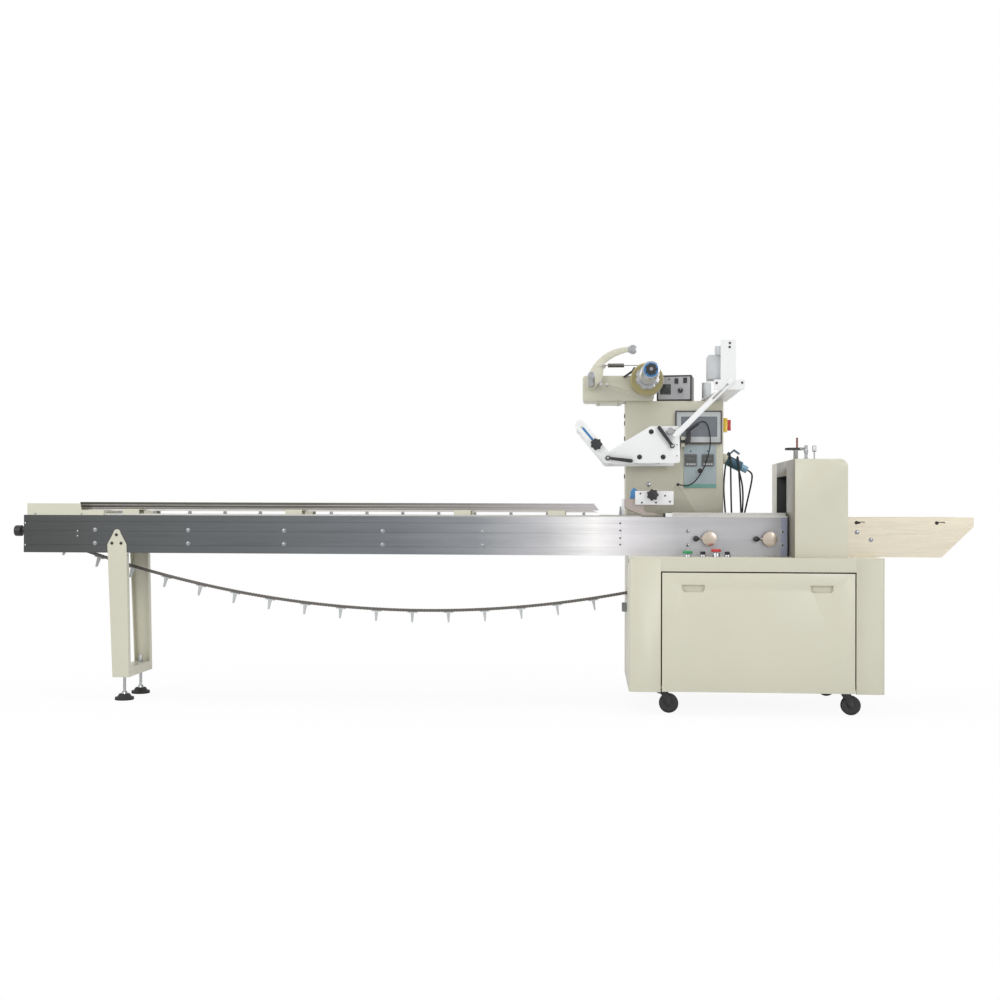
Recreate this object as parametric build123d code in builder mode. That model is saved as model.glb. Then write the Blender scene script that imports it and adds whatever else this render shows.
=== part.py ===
"""Horizontal flow-wrapping machine with a long pusher-chain infeed.

Millimetres. +X runs with the product, from the infeed's tail to the outfeed. +Y points away from
the operator. +Z is up, and the floor is at zero.
"""

import math
import os

from build123d import *

os.makedirs("parts", exist_ok=True)

# Product line
line_y = -20.0
beam_width = 276.0
beam_bottom_z = 586.0
beam_height = 149.0
beam_plate = 8.0
beam_end_plate = 12.0
lane_width = 140.0
deck_thickness = 6.0

# Cabinet
cabinet_left = 586.0
cabinet_length = 940.0
cabinet_depth = 640.0
skirt_z = 84.0
cabinet_sheet = 3.0
cabinet_corner_r = 15.0
stile_left_width = 118.0
stile_right_width = 104.0
head_band_height = 52.0
stile_return = 20.0
floor_z = 98.0
floor_thickness = 4.0
floor_setback = 40.0

# Access panel
panel_gap = 5.0
panel_sheet = 2.0
panel_return = 18.0
pull_width = 84.0
pull_height = 28.0
pull_depth = 14.0
pull_drop = 44.0
pull_spacing = 472.0
panel_pin_r = 4.0
panel_pin_height = 14.0
panel_pin_inset = 12.0
pin_clearance = 0.3

# Casters
caster_wheel_r = 36.0
caster_wheel_width = 28.0
caster_trail = 22.0
caster_plate_length = 92.0
caster_plate_width = 68.0
caster_plate_thickness = 4.0
caster_pin_r = 5.0
caster_crown_r = 24.0
caster_crown_height = 7.0
caster_leg_thickness = 3.0
caster_side_gap = 2.5
caster_axle_r = 4.0
caster_inset_y = 62.0
caster_inset_left = 129.0
caster_inset_right = 136.0
running_clearance = 0.1

# Infeed
infeed_length = 2370.0
joint_overhang = 24.0
rail_web = 6.0
rail_flange = 28.0
rail_flange_thickness = 5.0
chain_slot = 24.0
deck_left_margin = 118.0
deck_edge = 5.0
deck_right_reach = 50.0

# Pusher chain
links_per_pusher = 12
pusher_count = 36
first_pusher = 8
chain_thickness = 12.0
link_waist = 8.8
chain_width = 14.0
chain_drop = 0.0
sprocket_r = 50.0
idler_r = 40.0
sprocket_face = 10.0
tooth_r = 1.1
chain_clearance = 0.3
sag_low_x = -220.0
sag_low_z = 358.0
sag_rate = 1.2e-4
chain_entry_reach = 54.0
pusher_base_length = 38.0
pusher_base_height = 4.0
pusher_reach = 42.0
pusher_tip = 5.0
pusher_root = 13.0
bed_width = 16.0
bed_height = 6.0
crossbar_count = 6
crossbar_length = 30.0
crossbar_height = 14.0
hanger_gap = 20.0
hanger_sheet = 4.0
hanger_width = 28.0

# Tail adjuster
tail_plate_thickness = 10.0
tail_plate_height = 60.0
tail_screw_r = 6.0
tail_screw_offset = 30.0
tail_screw_length = 54.0
tail_knob_r = 22.0
tail_knob_length = 28.0

# Table over the seam seal
table_left = 757.0
table_thickness = 18.0
table_edge_strip = 40.0
table_edge_thickness = 6.0
seam_slot = 10.0

# Guide rails
guide_rail_left = -1601.0
guide_rail_right = 455.0
guide_rail_thickness = 10.0
guide_rail_bottom = 760.0
guide_rail_height = 27.0
guide_rail_point = 20.0
bracket_length = 66.0
bracket_sheet = 4.0
end_plate_height = 46.0
bracket_places = (-1375.0, -722.0, -57.0, 310.0)

# Infeed leg
leg_sheet = 3.0
leg_flange = 24.0
leg_apex = (-1428.0, 679.0)
leg_shoulder_z = 619.0
leg_top_width = 77.0
leg_bottom_width = 66.0
leg_bottom_z = 94.0
leg_lean = 18.0
cross_member_height = 36.0
foot_spacing = 190.0
foot_pad_r = 37.0
foot_pad_height = 24.0
foot_spindle_r = 6.0
foot_nut_r = 11.0
foot_nut_height = 10.0

# Column and head box
column_left = 583.0
column_width = 398.0
column_front = 150.0
column_depth = 160.0
column_top_z = 1208.0
column_edge_r = 8.0
column_wall = 6.0
head_left = 408.0
head_length = 290.0
head_height = 102.0
head_proud = 20.0
head_corner_r = 12.0

# Film reel
arbor_x = 667.0
arbor_z = 1290.0
arbor_front_y = -312.0
arbor_shaft_r = 12.0
arbor_seat_depth = 40.0
mandrel_r = 33.0
mandrel_back_y = -10.0
chuck_r = 47.0
chuck_thickness = 14.0
drum_r = 66.0
drum_width = 38.0
star_knob_r = 23.0
star_knob_height = 20.0
star_lobes = 7

# Dancer
dancer_x = 443.0
dancer_z = 1272.0
dancer_hub_r = 21.0
dancer_arm_thickness = 16.0
dancer_arm_gap = 8.0
dancer_roller_r = 14.0
dancer_roller_front = -262.0
dancer_shaft_r = 8.0
dancer_lug_x = 47.0
dancer_lug_z = 76.0
dancer_weight_r = 18.0
dancer_weight_length = 26.0
spring_r = 7.5
band_thickness = 1.5
band_width = 20.0

# Film guide frame
guide_front_y = -245.0
guide_plate_thickness = 6.0
guide_back_y = 111.0
guide_pivot_x = 506.0
guide_pivot_z = 959.0
guide_right = 779.0
guide_bottom = 941.0
guide_top = 1080.0
guide_peak_x = 667.0
guide_corner_r = 9.0
guide_pin_r = 6.0
guide_boss_r = 11.0
guide_nose_r = 20.0
guide_roller_r = 13.0
guide_arm_length = 165.0
guide_arm_width = 38.0
guide_arm_angle = 129.5
guide_arm_slot = 88.0
guide_arm_slot_start = 34.0
guide_knob_reach = 68.0
guide_arm_gap = 0.5
guide_slot_width = 9.0

# Clamp levers on the guide frame
clamp_hub_r = 9.0
clamp_upper_x = 749.0
clamp_upper_z = 1005.0
clamp_upper_length = 84.0
clamp_upper_turn = 125.8
clamp_lower_length = 88.7
clamp_lower_turn = -7.1

# Date coder
coder_front_y = -260.0
coder_plate_thickness = 8.0
coder_plate_left = 928.0
coder_plate_width = 57.0
coder_plate_top = 1404.0
coder_base_left = 904.0
coder_base_width = 114.0
coder_base_height = 38.0
coder_foot_height = 14.0
coder_foot_sheet = 6.0
coder_body_width = 43.0
coder_body_height = 90.0
coder_body_depth = 108.0
coder_cap_width = 19.0
coder_cap_height = 32.0
coder_drive_r = 19.0
coder_drive_height = 66.0

# Slotted link arm
link_width = 21.0
link_thickness = 6.0
link_low_x = 760.0
link_low_z = 1043.0
link_high_x = 960.0
link_high_z = 1242.0
link_over_reach = 17.0
link_slot_length = 84.0
link_slot_width = 8.0

# Film former
former_left = 575.0
former_length = 146.0
former_height = 66.0
former_sheet = 2.0
former_throat = 115.0
former_throat_height = 38.0
former_heel = 68.0
former_heel_height = 30.0

# Former bracket
bracket_left = 614.0
bracket_plate_length = 148.0
bracket_bottom = 783.0
bracket_plate_height = 53.0
bracket_plate_thickness = 8.0
bracket_stand_off = 40.0
bracket_knob_inset = 67.0

# Panels on the column
screen_left = 785.0
screen_length = 188.0
screen_bottom = 1033.0
screen_height = 134.0
screen_thickness = 14.0
screen_edge_r = 4.0
window_inset_x = 23.0
window_length = 146.0
window_inset_z = 28.0
window_height = 82.0
window_depth = 2.0
plate_left = 821.0
plate_length = 130.0
plate_bottom = 854.0
plate_height = 173.0
plate_thickness = 4.0
regulator_size = 48.0
regulator_depth = 8.0
regulator_left_x = 848.0
regulator_right_x = 917.0
regulator_z = 966.0
selector_x = 885.0
selector_z = 923.0
selector_r = 10.0

# Controller box on the column
controller_x = 791.0
controller_y = 228.0
controller_width = 142.0
controller_height = 105.0
controller_turn = -8.0

# Main switch
switch_y = 222.0
switch_z = 1113.0
switch_size = 56.0
switch_depth = 20.0
switch_shaft_r = 6.0
switch_dial_r = 21.0

# Photo eye
eye_left = 756.0
eye_bottom = 1021.0
eye_size = 40.0
eye_lens_r = 12.0
eye_sleeve_r = 7.0
eye_sleeve_length = 48.0

# Hood
hood_inset = 132.0
hood_length = 194.0
hood_front = -300.0
hood_top_z = 955.0
hood_front_cheek = 215.0
hood_back_cheek = 135.0
tunnel_top_z = 897.0
hood_corner_r = 30.0
hood_wall = 5.0
hand_inset = 48.0
hand_y = 0.0
hand_disc_r = 42.0
hand_disc_height = 46.0
hand_disc_thickness = 8.0
hand_grip_r = 4.0
hand_grip_length = 39.0
jaw_half_width = 52.0
jaw_half_height = 18.0
jaw_shaft_r = 14.0
jaw_low_z = 706.0
jaw_high_z = 816.0

# Outfeed
outfeed_length = 496.0
outfeed_sheet = 6.0
outfeed_nose_drop = 36.0
outfeed_slope_x = 119.0
belt_thickness = 3.0
pulley_r = 18.0

# Ledge controls
button_y = -230.0
start_x = 809.0
stop_x = 916.0
button_r = 19.0
button_stem_r = 8.5
button_collar_r = 14.0
button_travel = 3.0

# Front levers
lever_disc_r = 27.5
lever_disc_thickness = 16.0
lever_reach = 50.0
lever_ball_r = 11.0
lever_rod_r = 3.5
lever_shaft_r = 8.0
lever_stand_off = 6.0
lever_places = (895.0, 1124.0)
lever_z = 653.0

# Mains plug, its lead and the sensor cable
plug_gap = 22.0
plug_y = 230.0
plug_z = 970.0
plug_tilt_deg = 26.7
plug_r = 21.0
plug_body_length = 66.0
plug_collar_r = 15.0
plug_collar_length = 26.0
plug_stub_r = 12.0
plug_stub_length = 30.0
lead_r = 3.5
gland_x = 1006.0
gland_y = 254.0
gland_r = 9.0
gland_height = 18.0
sensor_cable_r = 2.5
grommet_x = 797.0
grommet_z = 867.0
grommet_r = 6.0
grommet_height = 3.0
eye_cable_start = (875.0, 114.0, 1114.0)
eye_cable_along = (0.8, 0.0, 0.6)

# Derived places
cabinet_right = cabinet_left + cabinet_length
cabinet_centre_x = cabinet_left + cabinet_length / 2
cabinet_front = -cabinet_depth / 2
cabinet_back = cabinet_depth / 2
cabinet_top_z = beam_bottom_z
beam_top_z = beam_bottom_z + beam_height
beam_front = line_y - beam_width / 2
beam_back = line_y + beam_width / 2
deck_top_z = beam_top_z + deck_thickness
joint_x = cabinet_left - joint_overhang
infeed_left = joint_x - infeed_length
hood_right = cabinet_right - hood_inset
hood_left = hood_right - hood_length
outfeed_right = hood_right + outfeed_length
hand_x = hood_left + hand_inset
machine_beam_right = hood_left - 7.0
guide_pivot = (guide_pivot_x, guide_pivot_z)
opening_left = cabinet_left + stile_left_width
opening_right = cabinet_right - stile_right_width
opening_top = cabinet_top_z - head_band_height
opening_centre_x = (opening_left + opening_right) / 2
panel_left = opening_left + panel_gap
panel_right = opening_right - panel_gap
panel_bottom = skirt_z + 2.0
panel_top = opening_top - panel_gap
panel_axis_y = cabinet_front + panel_pin_inset
panel_axis_z = panel_bottom + panel_pin_height
chain_top_z = beam_top_z - chain_drop
chain_entry_x = cabinet_left + chain_entry_reach
chain_mid_z = chain_top_z - chain_thickness / 2
rail_inner = beam_width / 2 - rail_web
plate_inner = beam_width / 2 - beam_plate
sprocket_z = chain_mid_z - sprocket_r
column_right = column_left + column_width
column_back = column_front + column_depth
head_front = column_front - head_proud
head_right = head_left + head_length
head_top_z = column_top_z + head_height


def facing(y, x=0.0, z=0.0, turn=0.0):
    """Plane that looks at the operator, with its x along +X or turned up from it; it extrudes to -Y."""
    angle = math.radians(turn)
    return Plane(origin=(x, y, z), x_dir=(math.cos(angle), 0, math.sin(angle)), z_dir=(0, -1, 0))


def block(x, y, z, mode=Mode.ADD):
    """Add a block that spans the x, y and z ranges."""
    with Locations(((x[0] + x[1]) / 2, (y[0] + y[1]) / 2, (z[0] + z[1]) / 2)):
        Box(x[1] - x[0], y[1] - y[0], z[1] - z[0], mode=mode)


def rod_y(x, z, radius, y, mode=Mode.ADD):
    """Add a cylinder along Y that spans the y range."""
    with Locations(Location((x, (y[0] + y[1]) / 2, z), (90, 0, 0))):
        Cylinder(radius, y[1] - y[0], mode=mode)


def rod_x(y, z, radius, x, mode=Mode.ADD):
    """Add a cylinder along X that spans the x range."""
    with Locations(Location(((x[0] + x[1]) / 2, y, z), (0, 90, 0))):
        Cylinder(radius, x[1] - x[0], mode=mode)


def rod_z(x, y, radius, z, mode=Mode.ADD):
    """Add a cylinder along Z that spans the z range."""
    with Locations((x, y, (z[0] + z[1]) / 2)):
        Cylinder(radius, z[1] - z[0], mode=mode)


def star_knob(x, z, back_y, radius=star_knob_r, height=star_knob_height):
    """Add a lobed knob that stands out from back_y towards the operator."""
    with BuildSketch(facing(back_y)) as lobes:
        with Locations((x, z)):
            Circle(radius * 0.84)
            with PolarLocations(radius * 0.8, star_lobes):
                Circle(radius * 0.2)
    extrude(lobes.sketch, amount=height)


def finish(piece, name):
    """Label a finished piece and write it."""
    piece.part.label = name
    export_step(piece.part, f"parts/{name}.step")


# Cabinet walls: sides, back and the front stiles, folded from sheet
with BuildPart() as cabinet_walls:
    with BuildSketch(Plane.XY.offset(skirt_z)):
        with Locations((cabinet_centre_x, 0)):
            RectangleRounded(cabinet_length, cabinet_depth, cabinet_corner_r)
            RectangleRounded(
                cabinet_length - 2 * cabinet_sheet,
                cabinet_depth - 2 * cabinet_sheet,
                cabinet_corner_r - cabinet_sheet,
                mode=Mode.SUBTRACT,
            )
        with Locations((opening_centre_x, cabinet_front)):
            Rectangle(opening_right - opening_left, 4 * cabinet_sheet, mode=Mode.SUBTRACT)
        return_y = cabinet_front + stile_return / 2
        with Locations((opening_left - cabinet_sheet / 2, return_y), (opening_right + cabinet_sheet / 2, return_y)):
            Rectangle(cabinet_sheet, stile_return)
    extrude(amount=cabinet_top_z - cabinet_sheet - skirt_z)
    rod_x(
        panel_axis_y,
        panel_axis_z,
        panel_pin_r + pin_clearance,
        (opening_left - 2 * cabinet_sheet, opening_right + 2 * cabinet_sheet),
        mode=Mode.SUBTRACT,
    )
    chain_entry_z = sag_low_z + sag_rate * (cabinet_left - sag_low_x) ** 2
    block(
        (cabinet_left - 1, cabinet_left + cabinet_sheet + 1),
        (line_y - chain_slot, line_y + chain_slot),
        (chain_entry_z - pusher_reach - 20, chain_entry_z + 20),
        mode=Mode.SUBTRACT,
    )
finish(cabinet_walls, "cabinet_walls")

# Cabinet top with the band over the opening, the button collars and the chain slot
chain_down_x = chain_entry_x + idler_r * (1 - math.sin(math.atan(2 * sag_rate * (chain_entry_x - sag_low_x))))
with BuildPart() as cabinet_top:
    with BuildSketch(Plane.XY.offset(cabinet_top_z - cabinet_sheet)):
        with Locations((cabinet_centre_x, 0)):
            RectangleRounded(cabinet_length, cabinet_depth, cabinet_corner_r)
    extrude(amount=cabinet_sheet)
    block(
        (opening_left, opening_right),
        (cabinet_front, cabinet_front + cabinet_sheet),
        (opening_top, cabinet_top_z - cabinet_sheet),
    )
    rod_z(gland_x, gland_y, gland_r, (cabinet_top_z - 1, cabinet_top_z + gland_height))
    for button_x, collar_height in ((start_x, 8.0), (stop_x, 15.0)):
        rod_z(button_x, button_y, button_collar_r, (cabinet_top_z, cabinet_top_z + collar_height))
        rod_z(
            button_x,
            button_y,
            button_stem_r + running_clearance,
            (cabinet_top_z - 2 * cabinet_sheet, cabinet_top_z + 2 * collar_height),
            mode=Mode.SUBTRACT,
        )
    block(
        (chain_down_x - 20, chain_down_x + pusher_reach + 20),
        (line_y - chain_slot, line_y + chain_slot),
        (cabinet_top_z - 2 * cabinet_sheet, cabinet_top_z + cabinet_sheet),
        mode=Mode.SUBTRACT,
    )
finish(cabinet_top, "cabinet_top")

# Cabinet floor with the four caster plates and their king pins
caster_xs = (cabinet_left + caster_inset_left, cabinet_right - caster_inset_right)
caster_ys = (cabinet_front + caster_inset_y, cabinet_back - caster_inset_y)
caster_plate_z = floor_z - caster_plate_thickness
crown_top_z = caster_plate_z - 5.0
crown_bottom_z = crown_top_z - caster_crown_height
with BuildPart() as cabinet_floor:
    with BuildSketch(Plane.XY.offset(floor_z)):
        with Locations((cabinet_centre_x, 0)):
            RectangleRounded(
                cabinet_length - 2 * cabinet_sheet,
                cabinet_depth - 2 * cabinet_sheet,
                cabinet_corner_r - cabinet_sheet,
            )
            with Locations((0, cabinet_front)):
                Rectangle(cabinet_length, 2 * floor_setback, mode=Mode.SUBTRACT)
    extrude(amount=floor_thickness)
    for caster_x in caster_xs:
        for caster_y in caster_ys:
            block(
                (caster_x - caster_plate_length / 2, caster_x + caster_plate_length / 2),
                (caster_y - caster_plate_width / 2, caster_y + caster_plate_width / 2),
                (caster_plate_z, floor_z),
            )
            rod_z(caster_x, caster_y, 2.4 * caster_pin_r, (crown_top_z + 0.4, caster_plate_z))
            rod_z(caster_x, caster_y, caster_pin_r, (crown_bottom_z - 3.4, crown_top_z + 0.4))
            rod_z(caster_x, caster_y, 1.8 * caster_pin_r, (crown_bottom_z - 3.4, crown_bottom_z - 0.4))
finish(cabinet_floor, "cabinet_floor")

# Casters: a swivelling fork and a wheel at each corner
caster_names = ("front_left", "back_left", "front_right", "back_right")
caster_places = [(x, y) for x in caster_xs for y in caster_ys]
leg_inner = caster_wheel_width / 2 + caster_side_gap
leg_outer = leg_inner + caster_leg_thickness
for caster_name, (caster_x, caster_y) in zip(caster_names, caster_places):
    axle_x = caster_x + caster_trail
    with BuildPart() as caster_fork:
        rod_z(caster_x, caster_y, caster_crown_r, (crown_bottom_z, crown_top_z))
        for side in (-1, 1):
            leg_face = caster_y + (-leg_outer if side < 0 else leg_inner)
            with BuildSketch(facing(leg_face + caster_leg_thickness)):
                with BuildLine():
                    Polyline(
                        (caster_x - 17, crown_top_z),
                        (caster_x + 17, crown_top_z),
                        (axle_x + 11, caster_wheel_r),
                        (axle_x - 11, caster_wheel_r),
                        close=True,
                    )
                make_face()
                with Locations((axle_x, caster_wheel_r)):
                    Circle(11)
            extrude(amount=caster_leg_thickness)
        rod_z(caster_x, caster_y, caster_pin_r + running_clearance, (crown_bottom_z - 1, crown_top_z + 1),
              mode=Mode.SUBTRACT)
        rod_y(axle_x, caster_wheel_r, caster_axle_r, (caster_y - leg_outer - 2, caster_y + leg_outer + 2))
    finish(caster_fork, f"caster_fork_{caster_name}")

    with BuildPart() as caster_wheel:
        rod_y(axle_x, caster_wheel_r, caster_wheel_r, (caster_y - caster_wheel_width / 2, caster_y + caster_wheel_width / 2))
        fillet(caster_wheel.edges().filter_by(GeomType.CIRCLE), 4.0)
        rod_y(
            axle_x,
            caster_wheel_r,
            caster_axle_r + running_clearance,
            (caster_y - caster_wheel_width, caster_y + caster_wheel_width),
            mode=Mode.SUBTRACT,
        )
    finish(caster_wheel, f"caster_wheel_{caster_name}")

# Front access panel: a folded tray with two D-shaped finger pulls and two hinge pins
panel_centre_x = (panel_left + panel_right) / 2
pull_centre_z = panel_top - pull_drop - pull_height / 2
with BuildPart() as access_panel:
    block((panel_left, panel_right), (cabinet_front, cabinet_front + panel_return), (panel_bottom, panel_top))
    block(
        (panel_left + panel_sheet, panel_right - panel_sheet),
        (cabinet_front + panel_sheet, cabinet_front + panel_return + 1),
        (panel_bottom + panel_sheet, panel_top - panel_sheet),
        mode=Mode.SUBTRACT,
    )
    pull_places = [(panel_centre_x + side * pull_spacing / 2 - 3, pull_centre_z) for side in (-1, 1)]
    for pull_x, pull_z in pull_places:
        block(
            (pull_x - pull_width / 2 - panel_sheet, pull_x + pull_width / 2 + panel_sheet),
            (cabinet_front + panel_sheet, cabinet_front + pull_depth + panel_sheet),
            (pull_z - pull_height / 2 - panel_sheet, pull_z + pull_height / 2 + panel_sheet),
        )
    with BuildSketch(facing(cabinet_front)):
        with Locations(*pull_places):
            with Locations((0, pull_height / 4)):
                Rectangle(pull_width, pull_height / 2)
            SlotOverall(pull_width, pull_height)
    extrude(amount=-pull_depth, mode=Mode.SUBTRACT)
    for start, end in ((opening_left - 2, panel_left + panel_sheet), (panel_right - panel_sheet, opening_right + 2)):
        rod_x(panel_axis_y, panel_axis_z, panel_pin_r, (start, end))
finish(access_panel, "access_panel")

# Machine beam: front and back plate joined by the end plate
with BuildPart() as machine_beam:
    block((joint_x, machine_beam_right), (beam_front, beam_back), (beam_bottom_z, beam_top_z))
    block(
        (joint_x - 1, machine_beam_right - beam_end_plate),
        (beam_front + beam_plate, beam_back - beam_plate),
        (beam_bottom_z - 1, beam_top_z + 1),
        mode=Mode.SUBTRACT,
    )
    for lever_x in lever_places:
        rod_y(lever_x, lever_z, lever_shaft_r + running_clearance, (beam_front - 1, beam_front + beam_plate + 1),
              mode=Mode.SUBTRACT)
finish(machine_beam, "machine_beam")

# Infeed beam: two extruded rails with grooved faces
with BuildPart() as infeed_beam:
    with BuildSketch(Plane.YZ.offset(infeed_left)):
        for side in (-1, 1):
            outer = line_y + side * beam_width / 2
            with Locations((outer - side * rail_web / 2, beam_bottom_z + beam_height / 2)):
                Rectangle(rail_web, beam_height)
            for flange_z in (beam_bottom_z + rail_flange_thickness / 2, beam_top_z - rail_flange_thickness / 2):
                with Locations((outer - side * rail_flange / 2, flange_z)):
                    Rectangle(rail_flange, rail_flange_thickness)
            with Locations((outer, beam_top_z - 26), (outer, beam_top_z - 64), (outer, beam_bottom_z + 30)):
                Rectangle(2.4, 2.0, mode=Mode.SUBTRACT)
    extrude(amount=infeed_length)
finish(infeed_beam, "infeed_beam")

# Deck plates either side of the chain slot
deck_left = infeed_left + deck_left_margin
deck_right = cabinet_left + deck_right_reach
with BuildPart() as infeed_deck:
    block((deck_left, deck_right), (beam_front + deck_edge, line_y - chain_slot / 2), (beam_top_z, deck_top_z))
    block((deck_left, deck_right), (line_y + chain_slot / 2, beam_back - deck_edge), (beam_top_z, deck_top_z))
finish(infeed_deck, "infeed_deck")

# Pusher chain: straight top run, wraps at the tail and drive sprockets, and a parabolic sag between
tail_slope_run = 0.0
for _ in range(30):
    tail_slope = 2 * sag_rate * tail_slope_run
    tail_touch_z = sprocket_z - sprocket_r / math.hypot(1, tail_slope)
    tail_slope_run = math.sqrt((tail_touch_z - sag_low_z) / sag_rate)
tail_slope = 2 * sag_rate * tail_slope_run
tail_touch_x = sag_low_x - tail_slope_run
tail_x = tail_touch_x + sprocket_r * tail_slope / math.hypot(1, tail_slope)
entry_slope = 2 * sag_rate * (chain_entry_x - sag_low_x)
entry_angle = math.degrees(math.atan(entry_slope))
entry_z = sag_low_z + sag_rate * (chain_entry_x - sag_low_x) ** 2
idler_x = chain_down_x - idler_r
idler_z = entry_z + idler_r * math.cos(math.radians(entry_angle))
drive_x = chain_down_x - sprocket_r
tail_angle = 270 - math.degrees(math.atan(tail_slope))


def chain_return_line(offset):
    """Draw the return run, offset outwards from the chain's middle, from drive top to tail top."""
    tangent_in = (chain_entry_x + offset * math.sin(math.radians(entry_angle)),
                  entry_z - offset * math.cos(math.radians(entry_angle)))
    tail_out = (tail_touch_x - offset * math.sin(math.atan(tail_slope)),
                tail_touch_z - offset * math.cos(math.atan(tail_slope)))
    meet_x = (tail_out[1] - tangent_in[1] + entry_slope * tangent_in[0] + tail_slope * tail_out[0]) / (
        entry_slope + tail_slope)
    meet_z = tangent_in[1] + entry_slope * (meet_x - tangent_in[0])
    CenterArc((drive_x, sprocket_z), sprocket_r + offset, 90, -90)
    Line((chain_down_x + offset, sprocket_z), (chain_down_x + offset, idler_z))
    CenterArc((idler_x, idler_z), idler_r + offset, 0, entry_angle - 90)
    Bezier(tangent_in, (meet_x, meet_z), tail_out)
    CenterArc((tail_x, sprocket_z), sprocket_r + offset, tail_angle, 90 - tail_angle)


with BuildLine(Plane.XZ) as chain_loop:
    Line((tail_x, chain_mid_z), (drive_x, chain_mid_z))
    chain_return_line(0)
loop_wire = chain_loop.wire()
link_count = links_per_pusher * pusher_count
link_pitch = loop_wire.length / link_count
top_links = round((drive_x - tail_x) / link_pitch)
print("chain length", loop_wire.length, "pitch", link_pitch, "links", link_count)


def chain_point(place, offset=0.0):
    """Point (x, z) at a place counted in links from the tail's top, offset outwards from the pins."""
    share = (place / link_count) % 1
    point = loop_wire.position_at(share)
    along = loop_wire.tangent_at(share)
    return (point.X - along.Z * offset, point.Z + along.X * offset)


# Link plates: each bulges round its pin, and the plates meet at their waists
chain_runs = {
    "pusher_chain_top_run": (0, top_links),
    "pusher_chain_return_run": (top_links, link_count),
}
for run_name, (first_link, last_link) in chain_runs.items():
    with BuildPart() as chain_run:
        with BuildSketch(facing(line_y + chain_width / 2)):
            with BuildLine():
                for side in (-1, 1):
                    waist = side * link_waist / 2
                    for link in range(first_link, last_link):
                        ThreePointArc(
                            chain_point(link, waist),
                            chain_point(link + 0.5, side * chain_thickness / 2),
                            chain_point(link + 1, waist),
                        )
                for end in (first_link, last_link):
                    Line(chain_point(end, -link_waist / 2), chain_point(end, link_waist / 2))
            make_face()
        extrude(amount=chain_width)
    finish(chain_run, run_name)

# Pushers: a foot across the link plates and a tapered finger, square to the chain all round the loop
with BuildPart() as chain_pushers:
    for index in range(pusher_count):
        pin = first_pusher + index * links_per_pusher + 0.5
        foot = chain_point(pin, chain_thickness / 2)
        tip = chain_point(pin, chain_thickness)
        outward = math.degrees(math.atan2(tip[1] - foot[1], tip[0] - foot[0]))
        with BuildSketch(facing(line_y + chain_width / 2, *foot, outward - 90)):
            with BuildLine():
                Polyline(
                    (-pusher_base_length / 2, 0),
                    (pusher_base_length / 2, 0),
                    (pusher_base_length / 2, pusher_base_height),
                    (pusher_root / 2, pusher_base_height),
                    (pusher_tip / 2, pusher_reach),
                    (-pusher_tip / 2, pusher_reach),
                    (-pusher_root / 2, pusher_base_height),
                    (-pusher_base_length / 2, pusher_base_height),
                    close=True,
                )
            make_face()
        extrude(amount=chain_width)
finish(chain_pushers, "chain_pushers")

# Toothed sprockets on their shafts, the idler on its hanger, and the bed under the top run
sprockets = (
    (tail_x, sprocket_z, sprocket_r, 10.0, rail_inner, link_count - 10),
    (drive_x, sprocket_z, sprocket_r, 12.0, plate_inner, top_links + 3),
    (idler_x, idler_z, idler_r, 8.0, hanger_gap + hanger_sheet / 2, top_links + round(
        (sprocket_r * math.pi / 2 + sprocket_z - idler_z) / link_pitch) + 2),
)
with BuildPart() as chain_supports:
    for wheel_x, wheel_z, wheel_r, shaft_r, shaft_reach, cusp in sprockets:
        rim = wheel_r - chain_thickness / 2 - chain_clearance
        cusp_x, cusp_z = chain_point(cusp)
        phase = math.degrees(math.atan2(cusp_z - wheel_z, cusp_x - wheel_x))
        with BuildSketch(facing(line_y + sprocket_face / 2)):
            with Locations((wheel_x, wheel_z)):
                Circle(rim)
                with PolarLocations(rim, round(math.tau * wheel_r / link_pitch), phase):
                    Circle(tooth_r)
        extrude(amount=sprocket_face)
        rod_y(wheel_x, wheel_z, shaft_r, (line_y - shaft_reach, line_y + shaft_reach))
    for side in (-1, 1):
        hanger = line_y + side * hanger_gap
        block(
            (idler_x - hanger_width / 2, idler_x + hanger_width / 2),
            (hanger - hanger_sheet / 2, hanger + hanger_sheet / 2),
            (idler_z - hanger_width / 2, cabinet_top_z - cabinet_sheet),
        )
    bed_top = chain_top_z - chain_thickness - chain_clearance
    bed_left = tail_x + sprocket_r + crossbar_length
    block((bed_left, joint_x), (line_y - bed_width / 2, line_y + bed_width / 2), (bed_top - bed_height, bed_top))
    bar_step = (joint_x - bed_left - 4 * crossbar_length) / (crossbar_count - 1)
    for step in range(crossbar_count):
        bar_x = bed_left + 2 * crossbar_length + step * bar_step
        block(
            (bar_x - crossbar_length / 2, bar_x + crossbar_length / 2),
            (line_y - rail_inner, line_y + rail_inner),
            (bed_top - bed_height - crossbar_height, bed_top - bed_height),
        )
finish(chain_supports, "chain_supports")

# Tail adjuster: the screw through the tail plate, with its round grip
with BuildPart() as tail_adjuster:
    plate_mid_z = beam_bottom_z + beam_height / 2 + 9.5
    block(
        (infeed_left, infeed_left + tail_plate_thickness),
        (line_y - rail_inner, line_y + rail_inner),
        (plate_mid_z - tail_plate_height / 2, plate_mid_z + tail_plate_height / 2),
    )
    screw_y = line_y - tail_screw_offset
    screw_end = infeed_left - tail_screw_length
    rod_x(screw_y, plate_mid_z, tail_screw_r, (screw_end - 1, infeed_left))
    rod_x(screw_y, plate_mid_z, tail_knob_r, (screw_end - tail_knob_length, screw_end))
    fillet(tail_adjuster.faces().sort_by(Axis.X)[0].edges(), 5)
finish(tail_adjuster, "tail_adjuster")

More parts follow.
